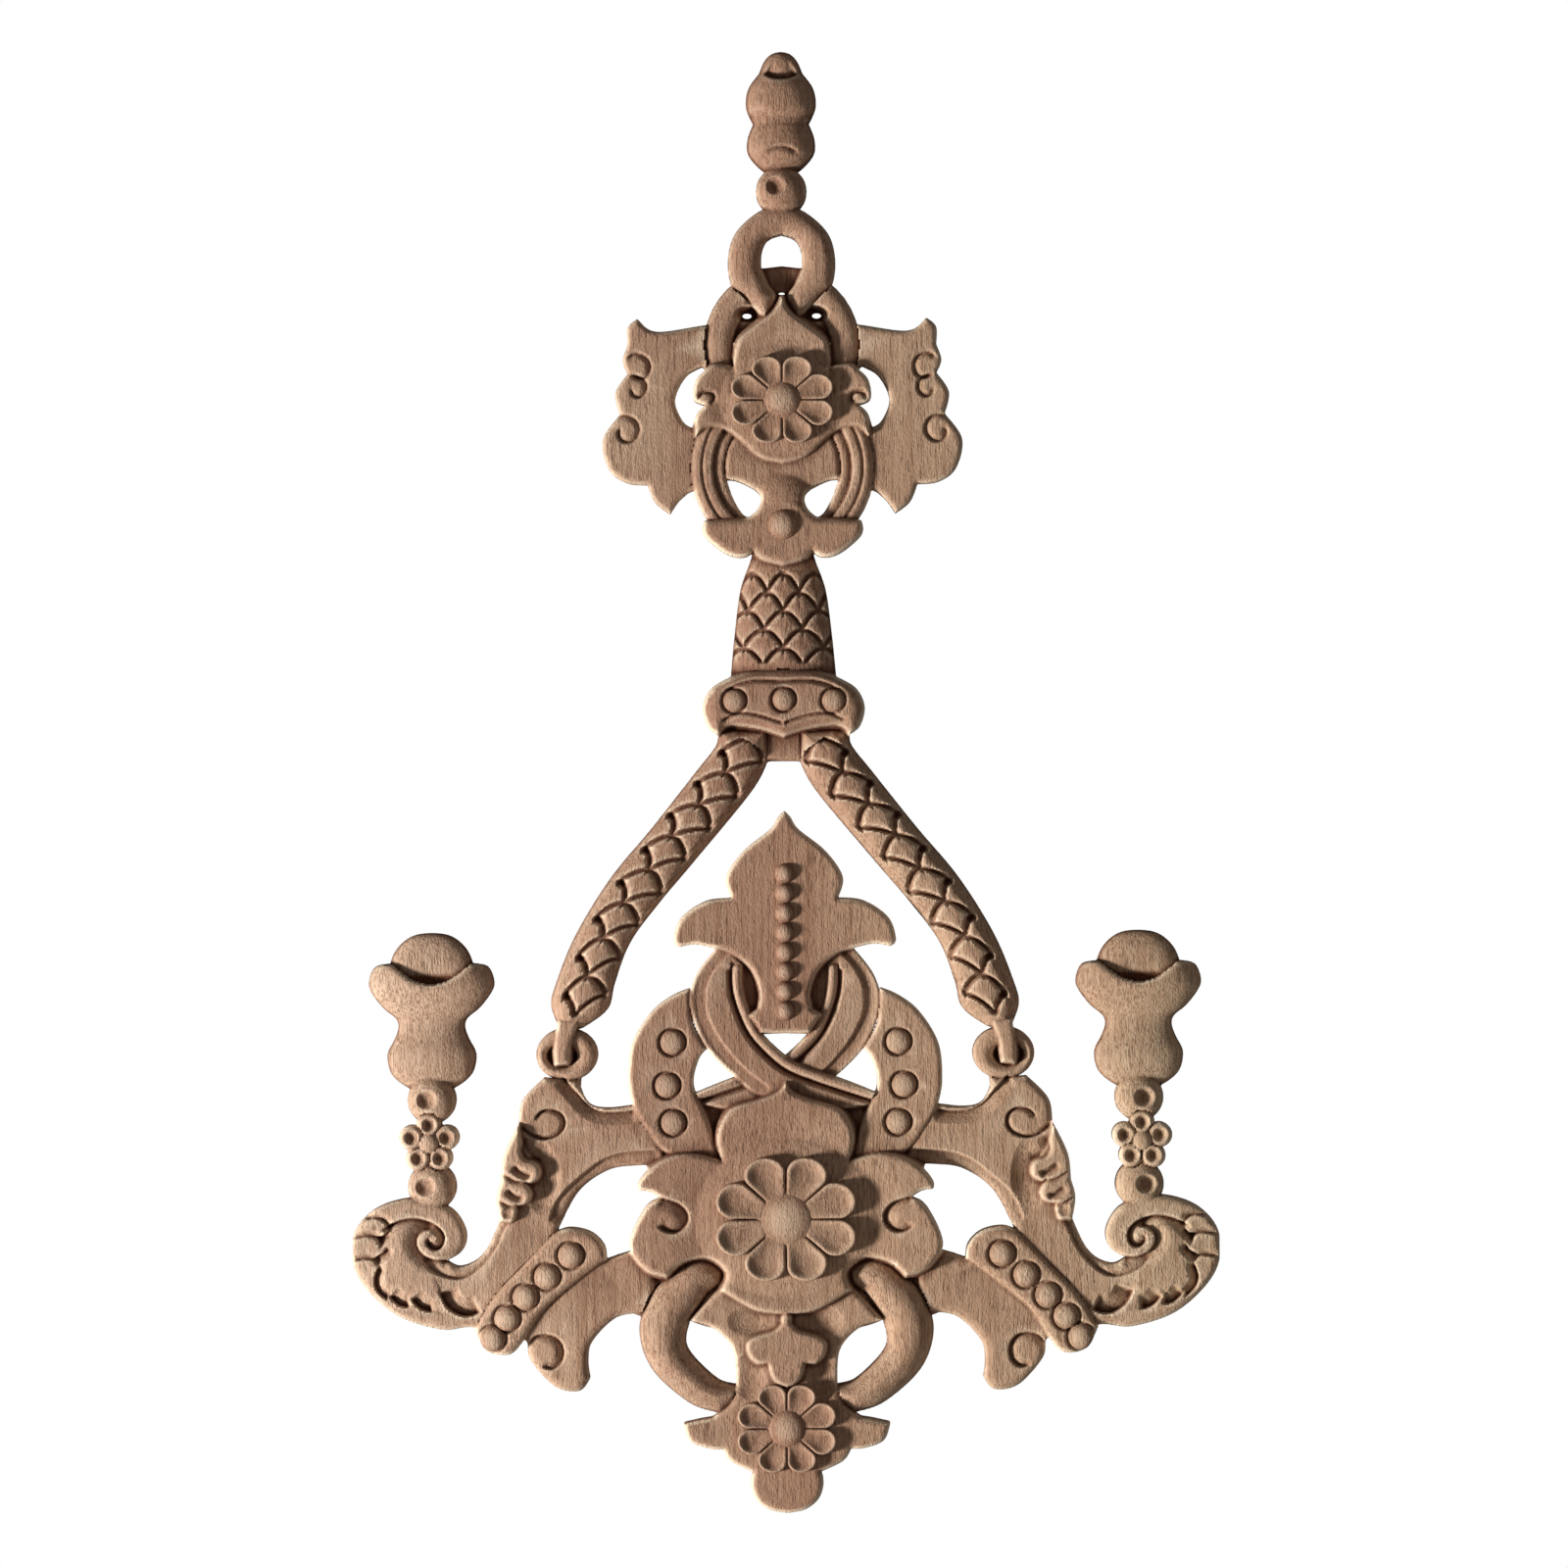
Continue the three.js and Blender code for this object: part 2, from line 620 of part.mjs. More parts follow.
const VOLUTE = [
  [
    [87.5, 3], [96, 4.7], [105.5, 1.6], [110.5, -5.4],
    [109.3, -15.3], [100.1, -24.7], [88.2, -28.8], [79.7, -28.3],
  ],
  [[74, -22]],
  [[79.2, -11.3], [83.5, -12.8], [86.7, -11.3]],
  [[82.7, -8.8], [81.5, -4.6], [83.7, 0.2], [87.5, 3]],
];
const SCROLL = [
  [103, 0.2], [97, 2], [90.5, 1.2], [85, -1.8], [84, -5.3],
  [86, -8.6], [90, -9.2], [92.6, -6.6], [91, -3.8], [88.9, -5.4],
];
const LEAF_LOBES = [
  [[[108, -1.4], [104, 0.2], [100.4, -3.6]], [[109.6, -5.6]]],
  [[[109.8, -6.2], [105.4, -5.8], [103.6, -9.4]], [[110, -12.4]]],
  [[[109.8, -12.9], [104.6, -13], [105, -18], [103.6, -22.2]], [[109, -15.5]]],
  [[[102.4, -23], [99, -20.8]], [[94.8, -26.9]]],
  [[[94.2, -27], [93, -22], [88.6, -28.5]]],
  [[[87.6, -28.6], [88.4, -22], [80.4, -22]], [[80.4, -28.2]]],
];

function volutes() {
  const width = (t) => 4.8 - 3.2 * t;
  return [
    ...both(trace(VOLUTE).slice(0, -1), VOLUTE_LEVEL),
    ...both(strip(SCROLL, width, 13), VOLUTE_LEVEL + RIB_RISE, { edge: 0, from: VOLUTE_LEVEL - 3 }),
    ...LEAF_LOBES.flatMap((lobe) =>
      both(trace(lobe), VOLUTE_LEVEL + LOBE_RISE - 0.5, { edge: 0, from: VOLUTE_LEVEL - 3 }),
    ),
  ];
}

// Finials above the volutes, on a chain of a bead, a five-petalled flower and a bead

const CHAIN_X = 90.3;
const FINIAL = [
  [[0, 72.3], [6, 71], [10.4, 64.4]],
  [[14.4, 63.7], [16, 59.8], [13.6, 54.4], [8.8, 50], [10.2, 44.2], [11.4, 40], [8.6, 34.6], [5.6, 32.6]],
  [[0, 32.4]],
];
const FINIAL_HOLLOW = [[[0, 73.5], [11.5, 73.5]], [[11.5, 65.4]], [[7.4, 61.8], [0, 59.2]]];
const FINIAL_STEP = 1.6;
const UPPER_CHAIN_BEAD = 29.75;
const LOWER_CHAIN_BEAD = 7.75;
const CHAIN_FLOWER_DROP = 0.15;
const CHAIN_FLOWER = (UPPER_CHAIN_BEAD + LOWER_CHAIN_BEAD) / 2 - CHAIN_FLOWER_DROP;
const CHAIN_FLOWER_LEVEL = VOLUTE_LEVEL + 1;
const CHAIN_PETALS = 5;
const CHAIN_PETAL_RADIUS = 2.8;
const CHAIN_PETAL_REACH = (UPPER_CHAIN_BEAD - LOWER_CHAIN_BEAD) / 2 - CHAIN_BEAD_RADIUS;

function finial(side) {
  const middle = CHAIN_X * DRAWING_SCALE;
  const moved = (points) => points.map(({ x, y }) => new THREE.Vector2(x + side * middle, y));
  const cup = layer(moved(across(FINIAL)), FINIAL_LEVEL, { edge: ROLL_EDGE });
  const floor = FINIAL_LEVEL - FINIAL_STEP;
  const hollow = layer(moved(across(FINIAL_HOLLOW)), FINIAL_LEVEL + 2, { edge: 0, from: floor });
  return [cup.subtract(hollow)];
}

function chain(side) {
  const pieces = [];
  for (const [y, shift] of [[UPPER_CHAIN_BEAD, 1.2], [LOWER_CHAIN_BEAD, 1.6]]) {
    const at = [side * CHAIN_X, y];
    const dimple = [side * (CHAIN_X + shift), y];
    pieces.push(dimpled(at, dimple, CHAIN_BEAD_RADIUS, ARM_LEVEL + 1));
  }
  for (let k = 0; k < CHAIN_PETALS; k++) {
    const [u, v] = turned([0, CHAIN_PETAL_REACH], (k / CHAIN_PETALS) * 2 * Math.PI);
    const at = p([side * (CHAIN_X + 0.6) + u, CHAIN_FLOWER + v]);
    const petal = [
      [0, -CHAIN_FLOWER_LEVEL - BURIED],
      [CHAIN_PETAL_RADIUS, -CHAIN_FLOWER_LEVEL - BURIED],
      [CHAIN_PETAL_RADIUS, 0],
      [0, -1.2],
    ];
    const place = [at.x / DRAWING_SCALE, at.y / DRAWING_SCALE];
    pieces.push(round(place, petal, CHAIN_FLOWER_LEVEL, 6));
  }
  const heart = [
    [0, -CHAIN_FLOWER_LEVEL - BURIED],
    [BEAD_RADIUS, -CHAIN_FLOWER_LEVEL - BURIED],
    [BEAD_RADIUS, BEAD_RISE * 0.4],
    [0, BEAD_RISE],
  ];
  pieces.push(round([side * (CHAIN_X + 0.6), CHAIN_FLOWER], heart, CHAIN_FLOWER_LEVEL, 7));
  return pieces;
}

// Stud bars below the arms, and the wings under them

const STUD_BAR = [
  [[59.7, -4.6], [55.5, -3], [50, -4.1], [46.5, -7.4], [45.8, -11.1]],
  [[54.3, -17.5], [61.8, -24], [66.8, -31.4]],
  [[70.6, -35.2], [76.6, -34.2], [79.6, -28.6]],
  [[74.3, -19.9], [66.8, -12], [59.7, -4.6]],
];
const BAR_STUDS = [[55, -10], [61.1, -15.4], [66.6, -20.6], [71.3, -26], [75, -31.2]];
const LOWER_WING = [
  [[34, -8]],
  [[40.6, -9.4], [45.8, -11.1]],
  [[48, -9]],
  [[70, -30]],
  [[66.4, -31.9], [65.4, -36.7], [59.2, -43.5], [53, -44.7], [50.2, -41.6]],
  [[50.7, -37.1], [49.6, -32.1], [43.6, -26.1], [37, -24.8]],
  [[33, -25]],
];
const LOWER_WING_CURL = [61, -34.8];
const LOWER_WING_CURL_RADIUS = 4.2;

function lowerWings() {
  return [
    ...both(trace(STUD_BAR).slice(0, -1), STUD_BAR_LEVEL),
    ...BAR_STUDS.flatMap(([x, y]) =>
      [x, -x].map((at) => dome([at, y], STUD_RADIUS, STUD_BAR_LEVEL, STUD_RISE)),
    ),
    ...both(trace(LOWER_WING), LOWER_WING_LEVEL),
    ...curls(LOWER_WING_CURL, LOWER_WING_CURL_RADIUS, LOWER_WING_LEVEL),
  ];
}

// Bent tubes and the lower body with its cross leaf and small flower

const TUBE = [
  [[16.4, -17.6], [15.7, -14], [20, -11], [25.5, -11.7], [30.5, -15.6]],
  [[34.8, -20.2], [37.6, -29.2], [34.4, -39.2], [25, -47.8], [17, -50.6]],
  [[10, -46]],
  [[12.9, -43.4]],
  [[18.1, -41.6], [25.3, -33.8], [24.6, -26.8]],
  [[18, -22]],
];
const LOWER_BODY = [
  [[0, -18], [16.5, -18]],
  [[24.6, -26.8]],
  [[18.6, -28.8], [13.6, -34.4], [12.9, -43.4]],
  [[14.4, -47.9], [18.9, -51.6]],
  [[21.9, -52.1], [26.4, -53.1]],
  [[24.7, -57.6], [19.4, -59.6], [16.4, -59.6]],
  [[14.4, -62.7], [8.7, -65.4]],
  [[8.2, -70], [0, DRAWING_FOOT]],
];
const CROSS_LEAF = [
  [[0, -24], [1.6, -24]],
  [[1.4, -27.5], [5.3, -30], [9.6, -31.4]],
  [[10, -34.7], [4.5, -37.8]],
  [[4, -41], [0, -43.7]],
];
const LOWER_FLOWER = [0, -54.2];

function lowerBody() {
  return [
    ...both(trace(TUBE), TUBE_LEVEL, { edge: 2.4 }),
    layer(across(LOWER_BODY), LOWER_BODY_LEVEL, { edge: 1.4 }),
    layer(across(CROSS_LEAF), LOWER_BODY_LEVEL + LEAF_RISE, { from: LOWER_BODY_LEVEL - 3, edge: 0.8 }),
    ...flower(LOWER_FLOWER, SMALL_FLOWER_RADII, SMALL_BUTTON_RADIUS, LOWER_BODY_LEVEL),
  ];
}

// The whole carving, cut flat along its back and stood up with its front towards -Y

const carving = [
  ...top(),
  ...wings(),
  ...upperMedallion(),
  ...lowerRing(),
  ...neck(),
  ...collar(),
  ...ropes(),
  ...fleur(),
  ...bands(),
  ...studPlates(),
  ...medallion(),
  ...arms(),
  ...volutes(),
  ...pair(finial),
  ...pair(chain),
  ...lowerWings(),
  ...lowerBody(),
];
const joined = carving.reduce((whole, piece) => whole.add(piece));
const behind = new THREE.BoxGeometry(3 * HEIGHT, 3 * HEIGHT, HEIGHT);
behind.translate(0, 0, -HEIGHT / 2);
const board = joined.subtract(solid(behind)).getMesh();

const geometry = new THREE.BufferGeometry();
geometry.setAttribute("position", new THREE.BufferAttribute(board.vertProperties, board.numProp));
geometry.setIndex(new THREE.BufferAttribute(board.triVerts, 1));
geometry.rotateX(Math.PI / 2);

const material = new THREE.MeshStandardMaterial({ color: WOOD, roughness: 0.72, metalness: 0 });
const applique = new THREE.Mesh(geometry, material);
applique.name = "carved_applique";

const part = new THREE.Group();
part.add(applique);
export default part;
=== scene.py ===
# %% [markdown]
# # A carved wooden applique
# A flat-backed board of pale wood, carved in relief in the shape of a hanging lamp. The lesson builds
# its carving as one field of heights, sets the studs and petals with Geometry Nodes, and then makes
# raw, machine-carved wood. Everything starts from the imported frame, which gives the real size.

# %% Load the frame
import math

import bmesh
import bpy
import numpy as np
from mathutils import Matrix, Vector


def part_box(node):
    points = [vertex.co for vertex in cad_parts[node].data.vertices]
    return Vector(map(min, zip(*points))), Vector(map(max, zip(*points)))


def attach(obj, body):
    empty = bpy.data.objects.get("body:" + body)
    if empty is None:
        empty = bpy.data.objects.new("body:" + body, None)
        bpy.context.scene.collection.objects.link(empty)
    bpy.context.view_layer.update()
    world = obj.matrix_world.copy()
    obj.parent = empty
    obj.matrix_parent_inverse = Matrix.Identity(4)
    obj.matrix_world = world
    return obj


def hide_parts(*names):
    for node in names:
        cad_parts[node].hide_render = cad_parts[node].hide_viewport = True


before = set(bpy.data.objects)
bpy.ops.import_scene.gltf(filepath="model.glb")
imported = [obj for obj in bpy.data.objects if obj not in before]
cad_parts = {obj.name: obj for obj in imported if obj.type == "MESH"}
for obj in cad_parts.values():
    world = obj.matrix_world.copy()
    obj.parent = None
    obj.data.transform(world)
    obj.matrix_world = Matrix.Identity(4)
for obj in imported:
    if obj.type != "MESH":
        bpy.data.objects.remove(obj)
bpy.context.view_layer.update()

BOARD = "carved_applique"
low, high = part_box(BOARD)
MM = 0.001
print("board", [round((b - a) / MM, 1) for a, b in zip(low, high)], "mm")

# %% [markdown]
# ## The drawing
# The carving is drawn on the face in millimetres: x runs outwards from the middle line and y upwards
# from the big rosette. The drawing is 373 mm tall, and its scale follows the height of the board in
# the frame, so a taller board gets the same carving. Curves pass smoothly through a few points and
# meet in corners, which is how a carver's template is drawn.

# %% Curves of the drawing
DRAWING_TOP = 297.0
DRAWING_FOOT = -76.0
SCALE = (high[2] - low[2]) / MM / (DRAWING_TOP - DRAWING_FOOT)
CURVE_STEP = 1.0


def smooth(points, step=CURVE_STEP):
    """Points along a smooth curve that passes through the given ones, about a step apart."""
    points = np.array(points, float)
    out = []
    for i in range(len(points) - 1):
        before, a = points[max(i - 1, 0)], points[i]
        b, after = points[i + 1], points[min(i + 2, len(points) - 1)]
        count = max(1, math.ceil(np.hypot(*(b - a)) / step))
        t = (np.arange(count) / count)[:, None]
        out_a, into_b = (b - before) / 2, (after - a) / 2
        cubic = (2 * (a - b) + out_a + into_b) * t**3
        out.append(cubic + (3 * (b - a) - 2 * out_a - into_b) * t**2 + out_a * t + a)
    return np.concatenate([*out, points[-1:]])


def trace(*stretches):
    """A closed outline of smooth stretches; each starts in a corner, where the last one ended."""
    pieces, start = [], []
    for stretch in stretches:
        curve = smooth([*start, *stretch])
        pieces.append(curve[1:] if pieces else curve)
        start = [stretch[-1]]
    return np.concatenate(pieces)


def closed(outline):
    """An outline as a path that comes back to its start, for a cut that goes all round."""
    return np.concatenate([outline, outline[:1]])


def across(*stretches):
    """A closed outline for a shape on the middle line, drawn as its right half only."""
    half = trace(*stretches)
    return np.concatenate([half, half[::-1] * (-1, 1)])


def oval(x, y, rx, ry, sides=40):
    turn = np.arange(sides) * 2 * math.pi / sides
    return np.stack([x + rx * np.cos(turn), y + ry * np.sin(turn)], 1)


print("one millimetre of the drawing is", round(float(SCALE), 4), "mm of wood")


# %% [markdown]
# ## A field of heights
# Machine-carved relief has no undercuts, so one number for each place on the face says all about it:
# how far the wood stands in front of the back. The field is a grid of such numbers, about as fine as
# the tip of the last cutter. Beside it, a second field keeps how far inside the outline each place is.

# %% The grid
CELL = 0.36
HALF_WIDTH = max(abs(low[0]), abs(high[0])) / MM / SCALE
XS = np.arange(-math.ceil(HALF_WIDTH / CELL) - 2, math.ceil(HALF_WIDTH / CELL) + 3) * CELL
YS = np.arange(math.floor(DRAWING_FOOT / CELL) - 2, math.ceil(DRAWING_TOP / CELL) + 3) * CELL
height = np.zeros((len(YS), len(XS)))
solid = np.full(height.shape, -9.0)
RIGHT, LEFT = 1, -1
BOTH = (RIGHT, LEFT)
print("grid", height.shape, "at", CELL, "mm")


def window(points, margin, sides):
    """The part of the grid round some points. A shape on both sides is worked out once, on the right."""
    (x0, y0), (x1, y1) = points.min(0) - margin, points.max(0) + margin
    x0 = max(x0, -CELL / 2) if sides == BOTH else x0
    return slice(*np.searchsorted(YS, (y0, y1))), slice(*np.searchsorted(XS, (x0, x1)))


def views(field, where, sides):
    """Where a shape lies in the field: as drawn for the right side, mirrored for the left one."""
    rows, columns = where
    for side in sides:
        part = (field if side == RIGHT else field[:, ::-1])[rows, columns]
        skip = 1 if side == LEFT and sides == BOTH and XS[columns][0] < CELL / 2 else 0
        yield part[:, skip:], (slice(None), slice(skip, None))


def inside_by(outline, where):
    """How far each place lies inside a closed outline; negative outside it."""
    x, y = XS[where[1]][None, :], YS[where[0]][:, None]
    nearest = np.full((y.size, x.size), 1e9)
    within = np.zeros(nearest.shape, bool)
    for (ax, ay), (bx, by) in zip(outline, np.roll(outline, -1, 0)):
        dx, dy = bx - ax, by - ay
        if dx == dy == 0:
            continue
        t = np.clip(((x - ax) * dx + (y - ay) * dy) / (dx * dx + dy * dy), 0, 1)
        np.minimum(nearest, (x - ax - t * dx) ** 2 + (y - ay - t * dy) ** 2, out=nearest)
        if dy:
            within ^= ((ay > y) != (by > y)) & (x < dx * (y - ay) / dy + ax)
    return np.where(within, 1, -1) * np.sqrt(nearest)


def beside(path, where):
    """The distance of each place to a path, positive on its left, and how far along the path it is."""
    x, y = XS[where[1]][None, :], YS[where[0]][:, None]
    nearest = np.full((y.size, x.size), 1e9)
    side, along, start = np.ones(nearest.shape), np.zeros(nearest.shape), 0.0
    for (ax, ay), (bx, by) in zip(path, path[1:]):
        dx, dy = bx - ax, by - ay
        length = math.hypot(dx, dy)
        t = np.clip(((x - ax) * dx + (y - ay) * dy) / length**2, 0, 1)
        square = (x - ax - t * dx) ** 2 + (y - ay - t * dy) ** 2
        closer = square < nearest
        nearest = np.where(closer, square, nearest)
        side = np.where(closer, np.where(dx * (y - ay) > dy * (x - ax), 1.0, -1.0), side)
        along = np.where(closer, start + t * length, along)
        start += length
    return np.sqrt(nearest) * side, along


# %% [markdown]
# ## The carver's moves
# A few moves make the whole relief. A *plate* is stood on what lies behind it, with a rounded upper
# edge and steep sides. A *cut* takes wood away beside a line, gently on one side and steeply on the
# other, as a slanted cutter does. A *roll* is a half-round moulding along a line, and a *turned* body
# has half an oval as its section. A *bulge* raises or hollows a soft round place, a *step* lowers one
# side of a line, and a *pierced* hole goes right through. Heights that meet are blended over half a
# millimetre, about what a small ball cutter leaves.

# %% Plates
# A side drops 3.2 mm for each millimetre that it runs out.
DRAFT = 3.2
BLEND = 0.5


def meet(a, b):
    return np.maximum(a, b) + np.maximum(BLEND - np.abs(a - b), 0) ** 2 / (4 * BLEND)


def rounded(inside, level, run, drop):
    edge = np.clip(inside / run, 0, 1)
    return level - drop * (1 - np.sqrt(1 - (1 - edge) ** 2))


def stand(shape, where, inside, sides, edge_level, silhouette=True, grown_in=False):
    """Put a surface on the field inside its outline, with steep sides down to what is behind.
    A surface that is grown in lets what is behind it come through where that is higher."""
    for part, cut_out in views(height, where, sides):
        d, surface = inside[cut_out], shape[cut_out]
        surface = meet(surface, part) if grown_in else surface
        part[...] = np.where(d > 0, surface, meet(part, edge_level + d * DRAFT))
    if silhouette:
        for part, cut_out in views(solid, where, sides):
            np.maximum(part, inside[cut_out], out=part)


def plate(outline, level, run=1.4, drop=1.2, sides=BOTH, holes=(), silhouette=True, grown_in=False):
    where = window(outline, 4.5, sides)
    inside = inside_by(outline, where)
    for hole in holes:
        inside = np.minimum(inside, -inside_by(hole, where))
    shape = rounded(inside, level, run, drop)
    stand(shape, where, inside, sides, level - drop, silhouette, grown_in)


# %% Cuts, rolls and bulges


def cut(path, depth, left, right, sides=BOTH, fade=1.5, power=1.5):
    """Cut beside a path: depth at the line, running out over the given widths left and right of it."""
    where = window(path, max(left, right) + 1, sides)
    offset, along = beside(path, where)
    near = np.clip(1 - np.abs(offset) / np.where(offset > 0, left, right), 0, 1)
    length = np.hypot(*np.diff(path, axis=0).T).sum()
    ends = np.clip(np.minimum(along, length - along) / fade + 0.15, 0, 1) if fade else 1
    for part, cut_out in views(height, where, sides):
        part -= (depth * near**power * ends)[cut_out]


def roll(path, width, level, foot, sides=BOTH, tip=None, silhouette=False):
    """A half-round moulding along a path; its width runs from the given one to that at its tip."""
    where = window(path, width, sides)
    offset, along = beside(path, where)
    length = np.hypot(*np.diff(path, axis=0).T).sum()
    half = (width + ((tip or width) - width) * along / length) / 2
    across_it = np.clip(np.abs(offset) / half, 0, 1)
    shape = foot + (level - foot) * np.sqrt(1 - across_it**2)
    stand(shape, where, half - np.abs(offset), sides, foot, silhouette)


def bulge(centre, radii, rise, sides=BOTH, power=1.0):
    """Raise (or, with a negative rise, hollow) a soft round or oval place."""
    (x, y), (rx, ry) = centre, radii
    points = np.array([[x - rx, y - ry], [x + rx, y + ry]])
    where = window(points, 1, sides)
    gx, gy = (XS[where[1]][None, :] - x) / rx, (YS[where[0]][:, None] - y) / ry
    near = np.clip(1 - gx**2 - gy**2, 0, 1) ** power
    for part, cut_out in views(height, where, sides):
        part += (rise * near)[cut_out]


# %% Holes, turned bodies and steps


def pierce(outline, sides=BOTH):
    """A small hole through everything."""
    where = window(outline, 2, sides)
    inside = inside_by(outline, where)
    for part, cut_out in views(solid, where, sides):
        np.minimum(part, -inside[cut_out], out=part)


def half_widths(x, outline):
    """Half the width of an outline round an upright axis, at each height of the grid."""
    half = np.zeros(len(YS))
    for (ax, ay), (bx, by) in zip(outline, np.roll(outline, -1, 0)):
        if ay == by:
            continue
        t = (YS - ay) / (by - ay)
        half = np.where((t >= 0) & (t <= 1), np.maximum(half, np.abs(ax + t * (bx - ax) - x)), half)
    return half[:, None]


def turned(x, outline, foot, depth, sides=BOTH):
    """A turned-looking body: its section at each height is half an oval, as deep as it is wide."""
    where = window(outline, 4.5, sides)
    inside = inside_by(outline, where)
    reach = np.abs(XS[where[1]][None, :] - x)
    shape = foot + depth * np.sqrt(np.clip(half_widths(x, outline)[where[0]] ** 2 - reach**2, 0, None))
    stand(shape, where, inside, sides, foot)


def step_down(path, depth, soft, reach, sides=BOTH):
    """Lower the wood on the left of a path by one step, up to a reach."""
    where = window(path, reach, sides)
    offset, along = beside(path, where)
    length = np.hypot(*np.diff(path, axis=0).T).sum()
    ends = np.clip(np.minimum(along, length - along) / 2, 0, 1)
    low_side = np.clip(offset / soft, 0, 1) * np.clip((reach - offset) / 2, 0, 1) * ends
    for part, cut_out in views(height, where, sides):
        part -= (depth * low_side)[cut_out]


def tell(made):
    """Say what a cell has carved, and how much wood there is so far."""
    area = (solid > 0).sum() * (CELL * SCALE) ** 2 / 100
    print(f"{made}: face {area:.0f} square cm, highest {height.max():.1f} mm")


# %% [markdown]
# ## Behind everything: joins, wings and rings
# The carving is built from the back to the front, as it would be stacked from paper. First come low
# joins that tie the layers to each other, the two wings with their scroll cuts, the ring behind the
# upper medallion with its loop, and the ring below.

# %% Low joins between the layers
JOINS = [
    (across([[0, 128], [16, 128]], [[16.6, 121.5]], [[0, 121]]), 6.0),
    (across([[0, 70], [14, 68]], [[13.6, 58]], [[11, 50]], [[6, 46.2]], [[0, 46.4]]), 7.0),
    (trace([[14, 30], [24, 30], [28, 19], [33, 19], [35, 11.5], [24, 10], [14, 10]]), 6.4),
    (trace([[26, -8], [36, -10], [42, -11], [40, -24], [33, -25], [30, -18]]), 6.4),
    (trace([[8, -10], [30, -14], [27, -24], [24.6, -26.8], [18.6, -28.8], [8, -30]]), 6.6),
]
for outline, join_level in JOINS:
    plate(outline, level=join_level, run=1, drop=0.8)
tell("joins")

# %% Wings
WING = trace(
    [[5, 229], [19.6, 227.2], [32.1, 225.6], [36.9, 228.9]],
    [[39.4, 226.6], [39.4, 222.1]],
    [[40.7, 218.1], [39.4, 214.9]],
    [[42.6, 209.9], [41.5, 204.4]],
    [[45.9, 197.9], [44.3, 190.4], [39.8, 187.1], [34.5, 186.5]],
    [[32.6, 182], [28.8, 179]],
    [[26.8, 182], [24.3, 184.4]],
    [[12, 190]],
    [[5, 190]],
)
CRESCENT = trace(
    [[19.5, 215.7], [20.4, 216.7]],
    [[24.6, 214.2], [27.4, 208.3], [25.4, 202.7], [23, 201]],
    [[21.7, 204.7], [19.5, 206.7]],
    [[22.6, 208.2], [22, 213], [19.5, 215.7]],
)
plate(WING, level=8.0, run=1.7, drop=1.4, holes=[CRESCENT])
WING_SCROLLS = [
    [[39.6, 218.5], [37.5, 220], [34.6, 219], [33.5, 216.5], [34.6, 214], [36.9, 213.6], [38.4, 214.6]],
    [[39, 214.5], [37, 214.2], [34.8, 212.8], [34.7, 210.3], [36.4, 208.8], [38.3, 209.4], [38.6, 211.3]],
    [[42.2, 203.7], [39.5, 204.2], [37, 202.6], [36.5, 199.8], [38.2, 197.6], [40.8, 197.6], [42, 199.6],
     [41.1, 201.2]],
]
for scroll in WING_SCROLLS:
    cut(smooth(scroll), depth=1.1, left=1.6, right=0.6)
tell("wings")

# %% Back ring and loop
plate(across([[0, 235.6], [5, 234.8], [11, 231]], [[12, 222], [0, 215]]), level=4.6, run=2, drop=1)
plate(oval(0, 222.2, 19.9, 19.9), level=8.2, run=3.7, drop=2.4, holes=[oval(0, 222.2, 12.5, 12.5)])
plate(across([[0, 242.3], [5.3, 241.7]], [[6, 236]], [[3, 232]], [[0, 231]]), level=4.6, run=1.2, drop=0.8)
LOOP = across(
    [[0, 258], [6, 256], [11.8, 250.6], [13.7, 244], [12.9, 237.5], [9.6, 234.2], [4.2, 228.5]],
    [[1.4, 234], [3.4, 237.5], [5.2, 241.6]],
    [[5, 246], [3.4, 249], [0, 250.3]],
)
plate(LOOP, level=9.2, run=3.8, drop=3.2)
tell("back ring and loop")

# %% Lower ring and stem
EYE = trace(
    [[14.2, 187.7], [12.1, 187.5], [9.8, 186.6], [7.3, 185.3]],
    [[5.8, 183.8], [5.7, 181.6], [7.2, 179.1], [8.8, 178]],
    [[10.3, 179], [11.8, 181.3], [13.1, 184.1], [14.2, 187.7]],
)
plate(oval(0, 190.8, 23.5, 23.5), level=9.2, run=2.6, drop=2, holes=[oval(0, 190.8, 14.6, 14.6), EYE])
cut(closed(oval(0, 190.8, 17.6, 17.6, 80)), depth=1.5, left=3.4, right=0.7, sides=(RIGHT,), fade=0)
cut(closed(oval(0, 190.8, 20.6, 20.6, 80)), depth=0.7, left=0.9, right=0.5, sides=(RIGHT,), fade=0)
plate(oval(0, 190.8, 14.9, 14.9), level=8.6, run=1.7, drop=1.7, holes=[EYE])
tell("lower ring")

# %% Upper medallion
UPPER_MEDALLION = across(
    [[0, 234], [2.4, 230.3], [6.6, 227.1], [11.3, 223], [12.5, 216.6]],
    [[17.2, 217.2], [19.5, 215.7]],
    [[22, 213], [22.6, 208.2], [19.5, 206.7]],
    [[22, 203.7], [22.1, 198.7]],
    [[18.7, 201.1], [13.5, 199.9], [6.1, 193.5], [0, 191.8]],
)
plate(UPPER_MEDALLION, level=10.5, run=1.4, drop=1.5)
cut(smooth([[12.4, 216.5], [12.2, 213], [12.6, 209.5]]), depth=0.6, left=2.2, right=0.6, fade=1)
cut(closed(oval(0, 207.9, 16, 14, 60)), depth=0.7, left=4, right=4, sides=(RIGHT,), fade=0, power=1.2)
cut(smooth([[21.6, 207.9], [20.2, 209.7], [18.2, 209.6], [17.6, 208], [18.9, 206.9]]),
    depth=1.3, left=0.7, right=1.4)
bulge((8.9, 230), (3.2, 2.2), rise=-3)
